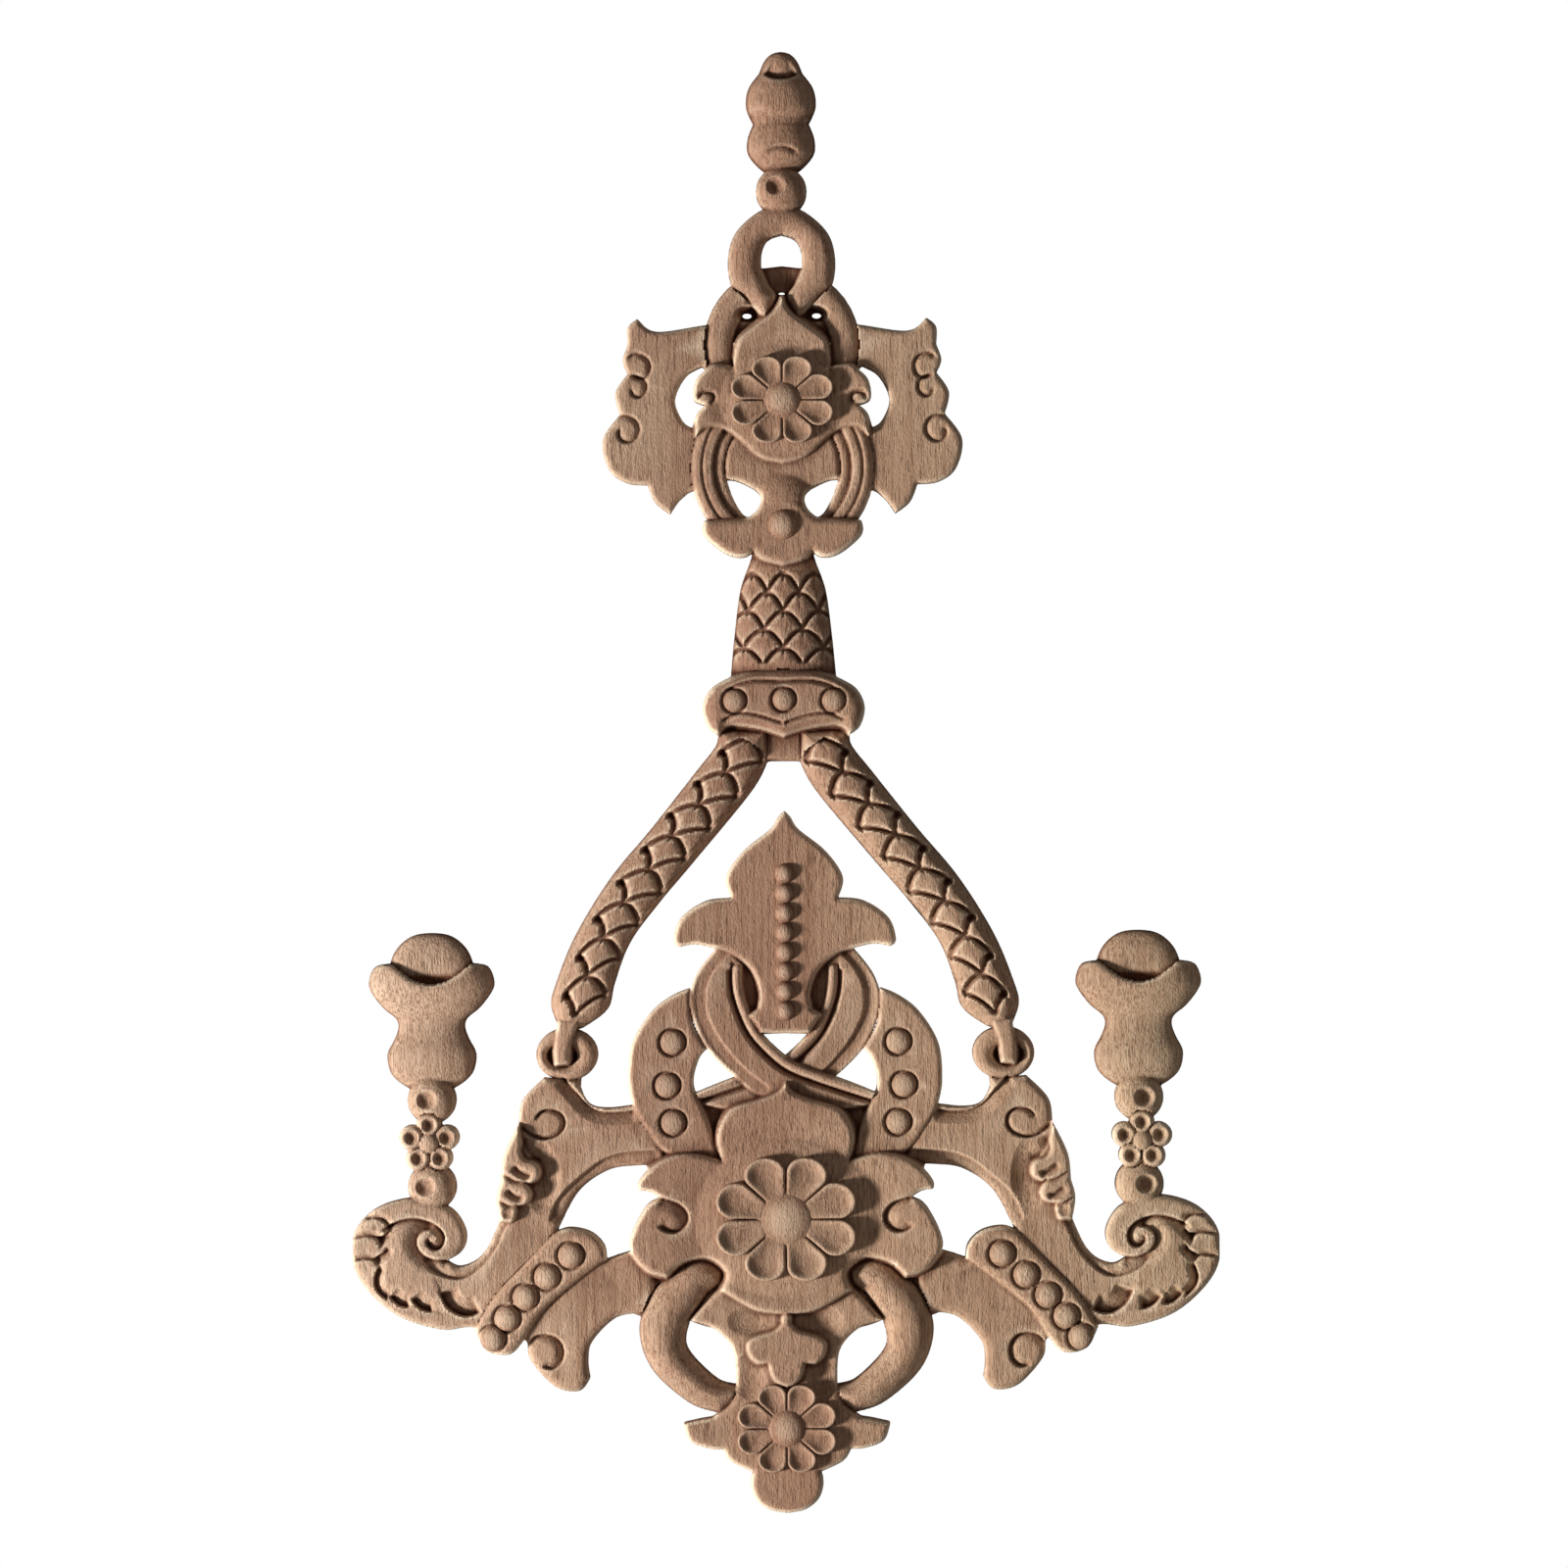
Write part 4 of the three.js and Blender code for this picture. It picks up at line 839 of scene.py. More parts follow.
def board_mesh():
    rows, columns = solid.shape
    inside = solid > 0
    ids = np.full(solid.shape, -1)
    ids[inside] = np.arange(inside.sum())
    r, c = np.nonzero(inside)
    points = [np.stack([XS[c], level[r, c], YS[r]], 1)]
    total = len(points[0])
    edge_ids = []
    for dr, dc in ((0, 1), (1, 0)):
        a = solid[: rows - dr, : columns - dc]
        b = solid[dr:, dc:]
        crossed = (a > 0) != (b > 0)
        r, c = np.nonzero(crossed)
        t = a[r, c] / (a[r, c] - b[r, c])
        wood = np.where(a[r, c] > 0, level[r, c], level[r + dr, c + dc])
        other = np.where(a[r, c] > 0, level[r + dr, c + dc], level[r, c])
        points.append(np.stack([XS[c] + t * dc * CELL, np.minimum(wood, np.maximum(other, wood - 0.4)),
                                YS[r] + t * dr * CELL], 1))
        table = np.full(crossed.shape, -1)
        table[r, c] = total + np.arange(len(r))
        total += len(r)
        edge_ids.append(table)
    flat, upright = edge_ids
    corner = [ids[:-1, :-1], ids[:-1, 1:], ids[1:, 1:], ids[1:, :-1]]
    middle = [flat[:-1, :], upright[:, 1:], flat[1:, :], upright[:, :-1]]
    case = sum((corner[k] >= 0) * 2**k for k in range(4))
    faces, rim = [], []
    for number in range(1, 16):
        r, c = np.nonzero(case == number)
        if not len(r):
            continue
        held = [bool(number >> k & 1) for k in range(4)]
        loops = [[]]
        for k in range(4):
            if held[k]:
                loops[-1].append(corner[k][r, c])
            if held[k] != held[(k + 1) % 4]:
                loops[-1].append(middle[k][r, c])
                if held[k] and number in (5, 10):
                    loops.append([])
        if number in (5, 10):
            loops = [loops[-1] + loops[0], *loops[1:-1]] if held[0] else [part for part in loops if part]
        for loop in loops:
            for k in range(1, len(loop) - 1):
                faces.append(np.stack([loop[0], loop[k], loop[k + 1]], 1))
        for k in range(4):
            if held[k] and not held[(k + 1) % 4]:
                back_in = next(j % 4 for j in range(k + 1, k + 5) if not held[j % 4] and held[(j + 1) % 4])
                rim.append(np.stack([middle[k][r, c], middle[back_in][r, c]], 1))
    return np.concatenate(points), np.concatenate(faces), np.concatenate(rim)


points, faces, rim = board_mesh()
count = len(points)
all_points = np.concatenate([points, points * (1, 0, 1)]) * (SCALE, -1, SCALE) * MM
all_points = np.clip(all_points, low, high)
walls = np.concatenate([
    np.stack([rim[:, 1], rim[:, 0], rim[:, 0] + count], 1),
    np.stack([rim[:, 1], rim[:, 0] + count, rim[:, 1] + count], 1),
])
all_faces = np.concatenate([faces, walls, faces[:, ::-1] + count])
mesh = bpy.data.meshes.new("carved_board")
mesh.from_pydata(all_points.tolist(), [], all_faces.tolist())
print("front, sides and back", len(all_faces), "faces")

# %% [markdown]
# Blender merges faces where the surface is flat, down to a number that stays easy to use. Merging can
# push a corner a hair out of the solid's box, so the corners are held to it. The long thin faces that
# it leaves would smear the shading of an edge over the flat beside it, so Weighted Normal lets the
# large faces decide.

# %% Thin the mesh
PIECE_FACES = 190_000
work = bmesh.new()
work.from_mesh(mesh)
bmesh.ops.recalc_face_normals(work, faces=work.faces)
print("open edges", sum(not e.is_manifold for e in work.edges), "faces", len(work.faces))
work.to_mesh(mesh)
work.free()
board = bpy.data.objects.new("carved_board", mesh)
bpy.context.scene.collection.objects.link(board)
if len(mesh.polygons) > PIECE_FACES:
    thin = board.modifiers.new("thin", "DECIMATE")
    thin.ratio = PIECE_FACES / len(mesh.polygons)
    thin.use_collapse_triangulate = True
    thinned = bpy.data.meshes.new_from_object(board.evaluated_get(bpy.context.evaluated_depsgraph_get()))
    board.modifiers.clear()
    board.data = thinned
print("thinned to", len(board.data.polygons), "faces")

# %% Smooth shading with sharp edges
SHARP_ANGLE = math.radians(62)
mesh = board.data
corners = np.empty(len(mesh.vertices) * 3)
mesh.vertices.foreach_get("co", corners)
mesh.vertices.foreach_set("co", np.clip(corners.reshape(-1, 3), low, high).ravel())
mesh.polygons.foreach_set("use_smooth", [True] * len(mesh.polygons))
mesh.set_sharp_from_angle(angle=SHARP_ANGLE)
even = board.modifiers.new("even", "WEIGHTED_NORMAL")
even.keep_sharp = True
board.data = bpy.data.meshes.new_from_object(board.evaluated_get(bpy.context.evaluated_depsgraph_get()))
board.modifiers.clear()
print("board", len(board.data.polygons), "faces,", len(board.data.vertices), "corners")

# %% [markdown]
# ## Wood
# The wood looks like rubberwood, machine carved and left raw. It is a pale, slightly pink tan, and its
# colour is painted darker in the middle and paler and yellower towards the ends of the arms, as painted
# light and shade.
# Fine upright grain lines run through it, and its open vessels show as short dark dashes. The cutter leaves
# a dry, matt surface. Colours are given as on a screen, in sRGB, and one function turns them to the linear
# values that a shader needs.

# %% A small node helper and the colours


def linear(hex_colour):
    """An sRGB hex colour as the linear colour that a shader needs."""
    values = [int(hex_colour[i:i + 2], 16) / 255 for i in (1, 3, 5)]
    return (*[v / 12.92 if v <= 0.04045 else ((v + 0.055) / 1.055) ** 2.4 for v in values], 1.0)


def add(tree, kind, links=(), **settings):
    """Add a node; settings name its properties or inputs, links give (input, socket) pairs."""
    node = tree.nodes.new(kind)
    for name, value in settings.items():
        if hasattr(node, name):
            setattr(node, name, value)
        else:
            node.inputs[name.replace("_", " ")].default_value = value
    for name, socket_from in links:
        tree.links.new(socket_from, node.inputs[name])
    return node


print("pale wood in linear light", [round(v, 3) for v in linear("#CDB59A")[:3]])

# %% Sizes of the wood's patterns
# In mm, as they look right beside the photograph. A vessel is little wider than a pixel of the render.
GRAIN_WIDTH = 0.9
GRAIN_LENGTH = 60.0
VESSEL_WIDTH = 0.3
VESSEL_LENGTH = 3.6
PORE_GROUP_WIDTH = 9.0
PORE_GROUP_LENGTH = 26.0
PATCH = 60.0
FUZZ_WIDTH = 0.5
FUZZ_LENGTH = 0.9
BUMP_HEIGHT = 0.3

wood = bpy.data.materials.new("raw_rubberwood_machine_carved")
wood.use_nodes = True
wood_tree = wood.node_tree
wood_tree.nodes.clear()
place = add(wood_tree, "ShaderNodeTexCoord").outputs["Object"]


def pattern(kind, across_mm, along_mm, **settings):
    """A pattern stretched along the grain, sized in millimetres."""
    across_scale, along_scale = 1 / (across_mm * MM), 1 / (along_mm * MM)
    mapping = add(wood_tree, "ShaderNodeMapping", [("Vector", place)])
    mapping.inputs["Scale"].default_value = (across_scale, across_scale, along_scale)
    return add(wood_tree, kind, [("Vector", mapping.outputs[0])], Scale=1.0, **settings)


def ramp(value, stops):
    node = add(wood_tree, "ShaderNodeValToRGB", [("Fac", value)])
    while len(node.color_ramp.elements) < len(stops):
        node.color_ramp.elements.new(0.5)
    for element, (position, colour) in zip(node.color_ramp.elements, stops):
        element.position, element.color = position, colour
    return node.outputs["Color"]


def mixed(kind, factor, a, b):
    """Mix two colours. A Mix node has sockets of one name for each kind of value, so the kind is asked."""
    node = add(wood_tree, "ShaderNodeMix", data_type="RGBA", blend_type=kind)
    for name, wanted, value in (("Factor", "VALUE", factor), ("A", "RGBA", a), ("B", "RGBA", b)):
        socket_to = next(s for s in node.inputs if s.name == name and s.type == wanted)
        if isinstance(value, bpy.types.NodeSocket):
            wood_tree.links.new(value, socket_to)
        else:
            socket_to.default_value = value
    return next(s for s in node.outputs if s.type == "RGBA")


print("wood patterns are sized in mm: grain", GRAIN_WIDTH, "vessels", VESSEL_WIDTH)

# %% Colour of the wood, with painted light across the board
BLACK, WHITE = (0, 0, 0, 1), (1, 1, 1, 1)
FEW_PORES = (0.3, 0.3, 0.3, 1)
PORE_STRENGTH = (0.55, 0.55, 0.55, 1)
REACH_OF_ARMS = 0.11
apart = add(wood_tree, "ShaderNodeSeparateXYZ", [("Vector", place)])
board_side = add(wood_tree, "ShaderNodeMapRange", [("Value", apart.outputs["X"])])
board_side.inputs["From Min"].default_value = -REACH_OF_ARMS
board_side.inputs["From Max"].default_value = REACH_OF_ARMS
# Painted light and shade: the colour is darker in the middle of the board and paler and yellower towards the
# ends of the arms.
painted_light_across_board = ramp(board_side.outputs["Result"], [
    (0.0, linear("#D8C0A8")), (0.22, linear("#C6A78E")), (0.38, linear("#9F7C67")), (0.5, linear("#A5816B")),
    (0.62, linear("#BB9B80")), (0.8, linear("#C0A286")), (1.0, linear("#CDB393")),
])
patches = pattern("ShaderNodeTexNoise", PATCH, PATCH * 1.6, Detail=2.0)
patch_colour = ramp(patches.outputs["Fac"], [
    (0.34, linear("#A47F6A")), (0.5, linear("#B6947C")), (0.66, linear("#CDB59A")),
])
base = mixed("MIX", 0.4, painted_light_across_board, patch_colour)

# %% Grain and vessels
grain = pattern("ShaderNodeTexNoise", GRAIN_WIDTH, GRAIN_LENGTH, Detail=4.0, Roughness=0.6)
grain_shade = ramp(grain.outputs["Fac"], [(0.32, linear("#CDB9AA")), (0.6, WHITE)])
base = mixed("MULTIPLY", 0.7, base, grain_shade)
vessels = pattern("ShaderNodeTexNoise", VESSEL_WIDTH, VESSEL_LENGTH, Detail=1.0, Roughness=0.4)
pores = ramp(vessels.outputs["Fac"], [(0.56, BLACK), (0.66, WHITE)])
gathered = pattern("ShaderNodeTexNoise", PORE_GROUP_WIDTH, PORE_GROUP_LENGTH, Detail=2.0)
where_pores = ramp(gathered.outputs["Fac"], [(0.3, FEW_PORES), (0.6, WHITE)])
pores = mixed("MULTIPLY", 1.0, pores, where_pores)
base = mixed("MIX", mixed("MULTIPLY", 1.0, pores, PORE_STRENGTH), base, linear("#5E4030"))

# %% Painted shade in the cuts, pale edges with a painted highlight, and the surface
# Painted shade: the colour is darkened towards a deep brown where the surface lies below the mean height
# around it.
cut_shade_node = add(wood_tree, "ShaderNodeAttribute", attribute_name="painted_cut_shade")
base = mixed("MULTIPLY", cut_shade_node.outputs["Fac"], base, linear("#8A6450"))
# Partly sanding and partly a painted highlight: raised edges are mixed towards a pale cream.
edges = add(wood_tree, "ShaderNodeAttribute", attribute_name="sanded_edge_and_painted_highlight")
base = mixed("MIX", edges.outputs["Fac"], base, linear("#F0DCC2"))
fuzz = pattern("ShaderNodeTexNoise", FUZZ_WIDTH, FUZZ_LENGTH, Detail=2.0)
relief = add(wood_tree, "ShaderNodeMath", [(0, pores), (1, fuzz.outputs["Fac"])], operation="SUBTRACT")
bump = add(wood_tree, "ShaderNodeBump", [("Height", relief.outputs[0])],
           invert=True, Strength=0.7, Distance=BUMP_HEIGHT * MM)
surface = add(wood_tree, "ShaderNodeBsdfPrincipled", [("Base Color", base), ("Normal", bump.outputs[0])],
              Roughness=0.78, IOR=1.48)
surface.inputs["Specular IOR Level"].default_value = 0.3
add(wood_tree, "ShaderNodeOutputMaterial", [("Surface", surface.outputs[0])])
print("wood nodes", len(wood_tree.nodes))

# %% [markdown]
# Cuts are painted darker inside, as painted shade, and raised edges are painted paler, partly for sanding
# and partly as a painted highlight. Both follow the surface, so they are kept on the mesh: how far each
# place lies below the mean height around it, and how far above it.

# %% Mean height around each place


def mean_around(field, radius):
    """The mean of a field over a square round each place."""
    cells = max(1, round(radius / CELL))

    def sums(values):
        for axis in (0, 1):
            pad = [(cells + 1, cells) if k == axis else (0, 0) for k in (0, 1)]
            run = np.cumsum(np.pad(values, pad), axis)
            size = values.shape[axis]
            upper, lower = np.arange(size) + 2 * cells + 1, np.arange(size)
            values = run.take(upper, axis) - run.take(lower, axis)
        return values

    return sums(field) / sums(np.ones(field.shape))


def keep_on(mesh, name, values):
    layer = mesh.attributes.new(name, "FLOAT", "POINT")
    layer.data.foreach_set("value", values)


# %% Painted shade in cuts and pale edges with painted highlight
CUT_REACH = 1.6
EDGE_REACH = 0.9
# The air beside the board counts as wood of middling height, or every outline would look like a cut.
AIR_LEVEL = 5.5
wood_or_air = np.where(solid > 0, level, AIR_LEVEL)
shade_from = mean_around(wood_or_air, CUT_REACH)
wear_and_highlight_from = mean_around(wood_or_air, EDGE_REACH)
at = np.empty(len(board.data.vertices) * 3)
board.data.vertices.foreach_get("co", at)
at = at.reshape(-1, 3) / MM / (SCALE, -1, SCALE)
column = np.clip(np.round((at[:, 0] - XS[0]) / CELL).astype(int), 0, len(XS) - 1)
line = np.clip(np.round((at[:, 2] - YS[0]) / CELL).astype(int), 0, len(YS) - 1)
front = at[:, 1] > 0.5
below = np.where(front, shade_from[line, column] - at[:, 1], 0)
above = np.where(front, at[:, 1] - wear_and_highlight_from[line, column], 0)
# Painted shade below the mean height, and paler edges above it, partly sanding and partly painted highlight.
keep_on(board.data, "painted_cut_shade", np.clip(below, 0, 1))
keep_on(board.data, "sanded_edge_and_painted_highlight", np.clip((above - 0.1) / 0.75, 0, 1) * 0.9)
print("corners in a cut", int((below > 0.5).sum()), "and on an edge", int((above > 0.5).sum()))

# %% The board takes the solid's place
board.data.materials.clear()
board.data.materials.append(wood)
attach(board, "root")
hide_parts(BOARD)

# %% [markdown]
# ## Studs and beads
# Studs, beads and the flowers' buttons are low domes in rows, which is what Geometry Nodes are good at:
# the object holds only the line of a row, and the tree sets a dome on it at each step.

# %% Making a tree and running it


def socket_id(tree, name):
    return next(item.identifier for item in tree.interface.items_tree if item.name == name)


def new_tree(name, sizes):
    """A Geometry Nodes tree with named inputs for its sizes."""
    tree = bpy.data.node_groups.new(name, "GeometryNodeTree")
    tree.interface.new_socket("Geometry", in_out="INPUT", socket_type="NodeSocketGeometry")
    tree.interface.new_socket("Geometry", in_out="OUTPUT", socket_type="NodeSocketGeometry")
    for size, kind in sizes.items():
        tree.interface.new_socket(size, in_out="INPUT", socket_type=kind)
    return tree, tree.nodes.new("NodeGroupInput"), tree.nodes.new("NodeGroupOutput")


def finish_tree(tree, out, geometry):
    real = add(tree, "GeometryNodeRealizeInstances", [("Geometry", geometry)])
    coloured = add(tree, "GeometryNodeSetMaterial", [("Geometry", real.outputs[0])], Material=wood)
    tree.links.new(coloured.outputs[0], out.inputs["Geometry"])


def grown(name, mesh, tree, values, sanding_and_highlight=0.25):
    """Run a tree on a mesh and keep the result as a plain piece."""
    source = bpy.data.objects.new(name, mesh)
    bpy.context.scene.collection.objects.link(source)
    modifier = source.modifiers.new("grow", "NODES")
    modifier.node_group = tree
    for key, value in values.items():
        modifier[socket_id(tree, key)] = value
    result = bpy.data.meshes.new_from_object(source.evaluated_get(bpy.context.evaluated_depsgraph_get()))
    source.modifiers.clear()
    source.data = result
    result.materials.clear()
    result.materials.append(wood)
    result.polygons.foreach_set("use_smooth", [True] * len(result.polygons))
    places = np.empty(len(result.vertices) * 3)
    result.vertices.foreach_get("co", places)
    # Domes and petals are painted paler at the top, partly sanding and partly painted highlight, and darker
    # lower down, as painted shade.
    below_top = places[1::3] - places[1::3].min()
    keep_on(result, "sanded_edge_and_painted_highlight", np.clip(1 - below_top / MM / 0.8, 0, 1) * sanding_and_highlight)
    keep_on(result, "painted_cut_shade", np.clip(below_top / MM / 2.6, 0, 1) * 0.5)
    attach(source, "root")
    print(name, len(result.polygons), "faces")
    return source


# %% A tree for rows of domes
rows_tree, given, out = new_tree(
    "row_of_domes", {"Count": "NodeSocketInt", "Radius": "NodeSocketFloat", "Rise": "NodeSocketFloat"}
)
line = add(rows_tree, "GeometryNodeMeshToCurve", [("Mesh", given.outputs["Geometry"])])
steps = add(rows_tree, "GeometryNodeResampleCurve",
            [("Curve", line.outputs[0]), ("Count", given.outputs["Count"])])
ball = add(rows_tree, "GeometryNodeMeshUVSphere", Segments=28, Rings=14, Radius=1.0)
size = add(rows_tree, "ShaderNodeCombineXYZ",
           [("X", given.outputs["Radius"]), ("Y", given.outputs["Rise"]), ("Z", given.outputs["Radius"])])
dome = add(rows_tree, "GeometryNodeTransform",
           [("Geometry", ball.outputs["Mesh"]), ("Scale", size.outputs[0])])
domes = add(rows_tree, "GeometryNodeInstanceOnPoints",
            [("Points", steps.outputs[0]), ("Instance", dome.outputs[0])])
finish_tree(rows_tree, out, domes.outputs[0])
print("dome tree", len(rows_tree.nodes), "nodes")

# %% Set the rows


def level_at(x, y):
    return level[np.abs(YS - y).argmin(), np.abs(XS - x).argmin()]


def row(name, places, count, radius, rise, sink=0.0):
    """Domes along a line of places on the face. The line's own points lie at the wood's level."""
    spots = [(x * SCALE * MM, -(level_at(x, y) - sink) * MM, y * SCALE * MM) for x, y in places]
    mesh = bpy.data.meshes.new(name)
    mesh.from_pydata(spots, [(i, i + 1) for i in range(len(spots) - 1)], [])
    return grown(name, mesh, rows_tree, {"Count": count, "Radius": radius * MM, "Rise": rise * MM})


def stud(name, x, y, radius, rise, sink=0.0):
    """A row of one dome; the line still needs a second point."""
    row(name, [(x, y), (x, y + 0.1)], 1, radius, rise, sink)


for side, word in ((RIGHT, "right"), (LEFT, "left")):
    for n, (x, y) in enumerate(PLATE_STUDS):
        stud(f"plate_stud_{word}_{n + 1}", side * x, y, radius=2.95, rise=1.0, sink=0.2)
    for n, (x, y) in enumerate(BAR_STUDS):
        stud(f"bar_stud_{word}_{n + 1}", side * x, y, radius=3.1, rise=1.5, sink=0.3)
for n, (x, y) in enumerate(COLLAR_STUDS):
    stud(f"collar_stud_{n + 1}", x, y, radius=2.8, rise=1.1, sink=0.3)
row("fleur_beads", [(0, 87.2), (0, 52.2)], count=8, radius=2.6, rise=2.3, sink=0.3)
stud("moustache_bead", 0, 176.1, radius=3.9, rise=2.2, sink=0.3)

# %% [markdown]
# ## Flowers
# A flower is one petal, turned eight times. The petal is a closed spoon: a rim round a hollow, highest
# at the tip and gone where the petal runs in under the button. The tree turns the copies, then
# stretches the ring to the flower's oval.

# %% One petal
PETAL_SIDES = 44
# From the root up over the rim into the hollow: the ring's size and its height, as shares of the petal.
PETAL_RINGS = [(1.0, -1.0), (1.0, 0.5), (0.975, 0.82), (0.925, 0.98), (0.86, 1.0), (0.76, 0.88), (0.62, 0.7),
               (0.42, 0.56), (0.22, 0.5)]
HOLLOW = 0.47
PETAL_MIDDLE = 0.72


def petal_outline():
    """A petal pointing up, 1 long: narrow at the button, round at its tip."""
    half = smooth([[0, 0.99], [0.11, 0.968], [0.205, 0.905], [0.266, 0.81], [0.276, 0.7], [0.234, 0.59],
                   [0.165, 0.42], [0.12, 0.31], [0.08, 0.28], [0, 0.28]], step=0.05)
    whole = closed(np.concatenate([half, half[-2:0:-1] * (-1, 1)]))
    gone = np.concatenate([[0], np.cumsum(np.hypot(*np.diff(whole, axis=0).T))])
    even_steps = np.linspace(0, gone[-1], PETAL_SIDES, endpoint=False)
    return np.stack([np.interp(even_steps, gone, whole[:, 0]), np.interp(even_steps, gone, whole[:, 1])], 1)


def petal_mesh(name, rise):
    """A closed petal of unit length. Its rim fades out towards the button."""
    edge, centre = petal_outline(), np.array([0, PETAL_MIDDLE])
    points = []
    for share, up in PETAL_RINGS:
        for x, z in centre + (edge - centre) * share:
            rim = np.interp(z, (0.3, 0.75), (0.25, 1.0)) if up > HOLLOW else 1.0
            points.append((x, -(HOLLOW + (up - HOLLOW) * rim) * rise * MM, z))
    points += [(centre[0], -HOLLOW * rise * MM, centre[1]), (centre[0], rise * MM, centre[1])]
    faces = []
    for r in range(len(PETAL_RINGS) - 1):
        for k in range(PETAL_SIDES):
            a, b = r * PETAL_SIDES + k, r * PETAL_SIDES + (k + 1) % PETAL_SIDES
            faces.append((a, b, b + PETAL_SIDES, a + PETAL_SIDES))
    last, front = (len(PETAL_RINGS) - 1) * PETAL_SIDES, len(PETAL_RINGS) * PETAL_SIDES
    for k in range(PETAL_SIDES):
        faces.append((last + k, last + (k + 1) % PETAL_SIDES, front))
        faces.append(((k + 1) % PETAL_SIDES, k, front + 1))
    mesh = bpy.data.meshes.new(name)
    mesh.from_pydata(points, [], faces)
    work = bmesh.new()
    work.from_mesh(mesh)
    bmesh.ops.recalc_face_normals(work, faces=work.faces)
    work.to_mesh(mesh)
    work.free()
    return mesh

# %% Turn and set the petals
flower_tree, given, out = new_tree(
    "ring_of_petals", {"Petals": "NodeSocketInt", "Oval": "NodeSocketVector", "Centre": "NodeSocketVector"}
)
seats = add(flower_tree, "GeometryNodePoints", [("Count", given.outputs["Petals"])])
number = add(flower_tree, "GeometryNodeInputIndex")
half_more = add(flower_tree, "ShaderNodeMath", [(0, number.outputs[0])], operation="ADD")
half_more.inputs[1].default_value = 0.5
share = add(flower_tree, "ShaderNodeMath", [(0, half_more.outputs[0]), (1, given.outputs["Petals"])],
            operation="DIVIDE")
turn = add(flower_tree, "ShaderNodeMath", [(0, share.outputs[0])], operation="MULTIPLY")
turn.inputs[1].default_value = 2 * math.pi
angles = add(flower_tree, "ShaderNodeCombineXYZ", [("Y", turn.outputs[0])])
petals = add(flower_tree, "GeometryNodeInstanceOnPoints",
             [("Points", seats.outputs[0]), ("Instance", given.outputs["Geometry"]),
              ("Rotation", angles.outputs[0])])
laid = add(flower_tree, "GeometryNodeTransform", [
    ("Geometry", petals.outputs[0]), ("Scale", given.outputs["Oval"]),
    ("Translation", given.outputs["Centre"])])
finish_tree(flower_tree, out, laid.outputs[0])
print("petal tree", len(flower_tree.nodes), "nodes")

# %% The three flowers
PETALS = 8


def flower(name, centre, radii, button, base, rise, button_rise):
    (x, y), (rx, ry) = centre, radii
    stretched = (rx * SCALE * MM, 1.0, ry * SCALE * MM)
    spot = (x * SCALE * MM, -base * MM, y * SCALE * MM)
    grown(f"{name}_petals", petal_mesh(name, rise), flower_tree,
          {"Petals": PETALS, "Oval": stretched, "Centre": spot}, sanding_and_highlight=0.2)
    stud(f"{name}_button", x, y, button, button_rise)


flower("rosette", (0, -0.8), (19.2, 16.9), button=7.9, base=12.0, rise=2.6, button_rise=2.8)
flower("upper_flower", (0, 207.9), (14.0, 11.9), button=5.3, base=10.5, rise=2.3, button_rise=2.8)
flower("lower_flower", (0, -54.3), (13.5, 12.0), button=5.4, base=9.2, rise=2.3, button_rise=2.9)

# %% [markdown]
# ## Light and camera
# The photograph shows the face from straight in front on white. A strong, soft light comes from the
# left and a little from below, so every edge that faces it is bright and every cut throws its shade to
# the right. A weak light from the other side keeps the shades brown.

# %% Floor and world
FLOOR_GAP = 1.2
FLOOR_SIZE = 3.0
bpy.ops.mesh.primitive_plane_add(size=1, location=(0, 0.2, low[2] - FLOOR_GAP))
floor = bpy.context.object
floor.name = "floor"
floor.scale = (FLOOR_SIZE, FLOOR_SIZE, 1)
bpy.ops.object.transform_apply(location=True, scale=True)
pale = bpy.data.materials.new("pale_floor_paint")
pale.use_nodes = True
pale.node_tree.nodes["Principled BSDF"].inputs["Base Color"].default_value = linear("#EDEAE6")
floor.data.materials.append(pale)

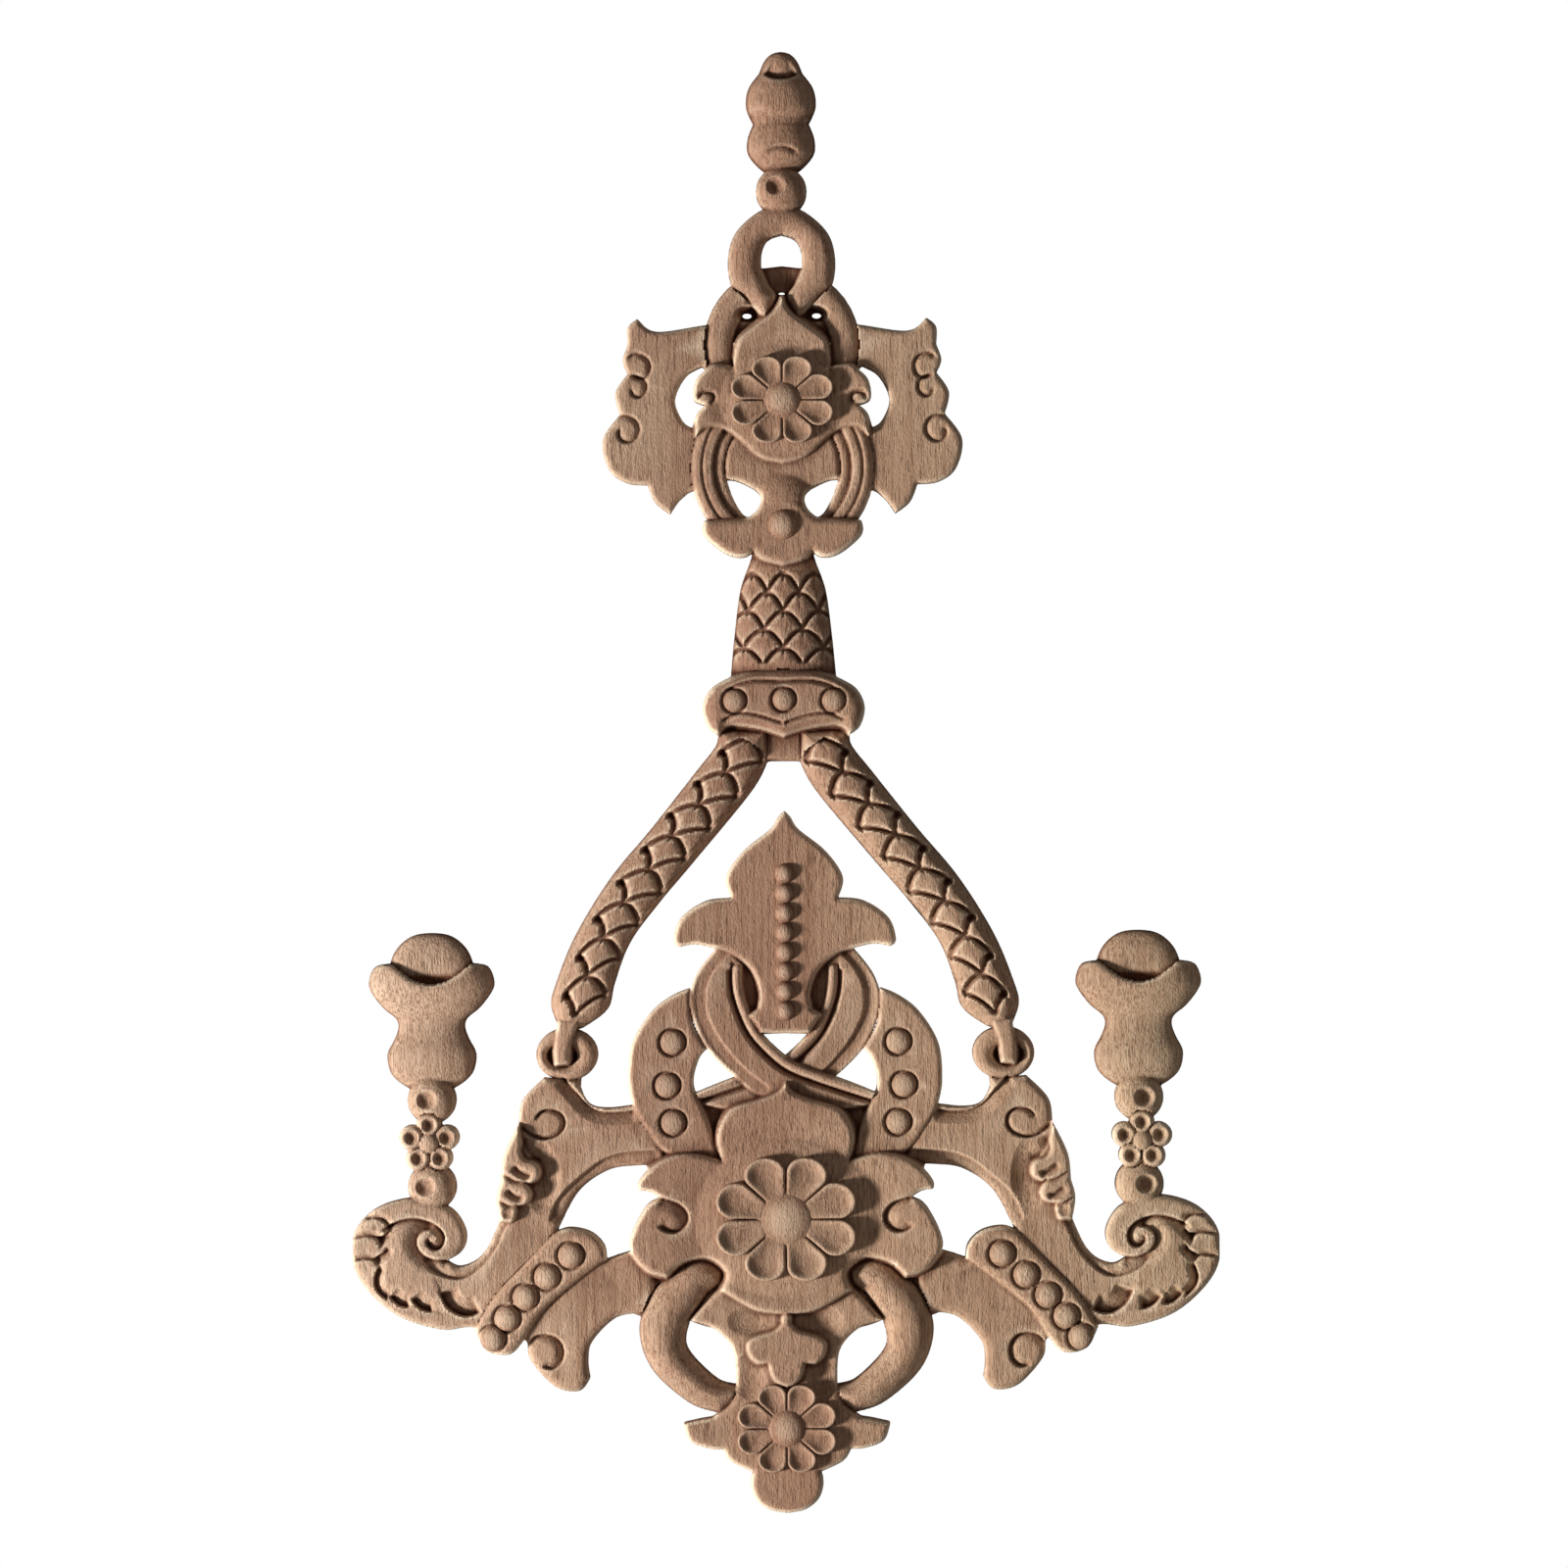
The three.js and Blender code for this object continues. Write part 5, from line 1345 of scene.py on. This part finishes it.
world = bpy.data.worlds.new("white_studio")
world.use_nodes = True
bpy.context.scene.world = world
sky = world.node_tree
sky.nodes.clear()
seen = add(sky, "ShaderNodeBackground", Color=(1, 1, 1, 1), Strength=1.0)
fill = add(sky, "ShaderNodeBackground", Color=linear("#F2E9E2"), Strength=0.13)
ray = add(sky, "ShaderNodeLightPath")
both = add(sky, "ShaderNodeMixShader",
           [(0, ray.outputs["Is Camera Ray"]), (1, fill.outputs[0]), (2, seen.outputs[0])])
add(sky, "ShaderNodeOutputWorld", [("Surface", both.outputs[0])])
bpy.context.scene.view_settings.view_transform = "Standard"
print("floor", FLOOR_SIZE, "m,", FLOOR_GAP, "m below the board")

# %% Lights
VIEW_HEIGHT = 0.110
FACE_CENTRE = Vector(((low[0] + high[0]) / 2, 0.0, VIEW_HEIGHT))


def lamp(name, direction, distance, size, power, colour):
    """A soft square light that looks at the middle of the face from a direction."""
    light = bpy.data.lights.new(name, "AREA")
    light.size, light.energy, light.color = size, power, linear(colour)[:3]
    obj = bpy.data.objects.new(name, light)
    obj.location = FACE_CENTRE + distance * Vector(direction).normalized()
    obj.rotation_euler = (FACE_CENTRE - obj.location).to_track_quat("-Z", "Y").to_euler()
    bpy.context.scene.collection.objects.link(obj)
    print(name, "lamp at", [round(v, 2) for v in obj.location])


lamp("key", (-0.86, -0.42, -0.28), distance=1.6, size=0.24, power=43, colour="#FFFAF5")
lamp("fill", (0.3, -0.9, 0.3), distance=1.6, size=1.0, power=1.2, colour="#FFFFFF")

# %% Camera
# The frame is 400 mm wide at the middle of the carving's depth, and turned a hair, as in the photograph.
VIEW_WIDTH = 0.400
CAMERA_DISTANCE = 2.4
FACE_DEPTH = 0.008
SENSOR = 36
TILT = math.radians(0.27)
camera_data = bpy.data.cameras.new("camera")
camera_data.sensor_width = SENSOR
camera_data.lens = SENSOR * (CAMERA_DISTANCE - FACE_DEPTH) / VIEW_WIDTH
camera = bpy.data.objects.new("camera", camera_data)
camera.location = (0.0, -CAMERA_DISTANCE, VIEW_HEIGHT)
camera.rotation_euler = (math.pi / 2, TILT, 0)
bpy.context.scene.collection.objects.link(camera)
bpy.context.scene.camera = camera
print("lens", round(camera_data.lens), "mm")
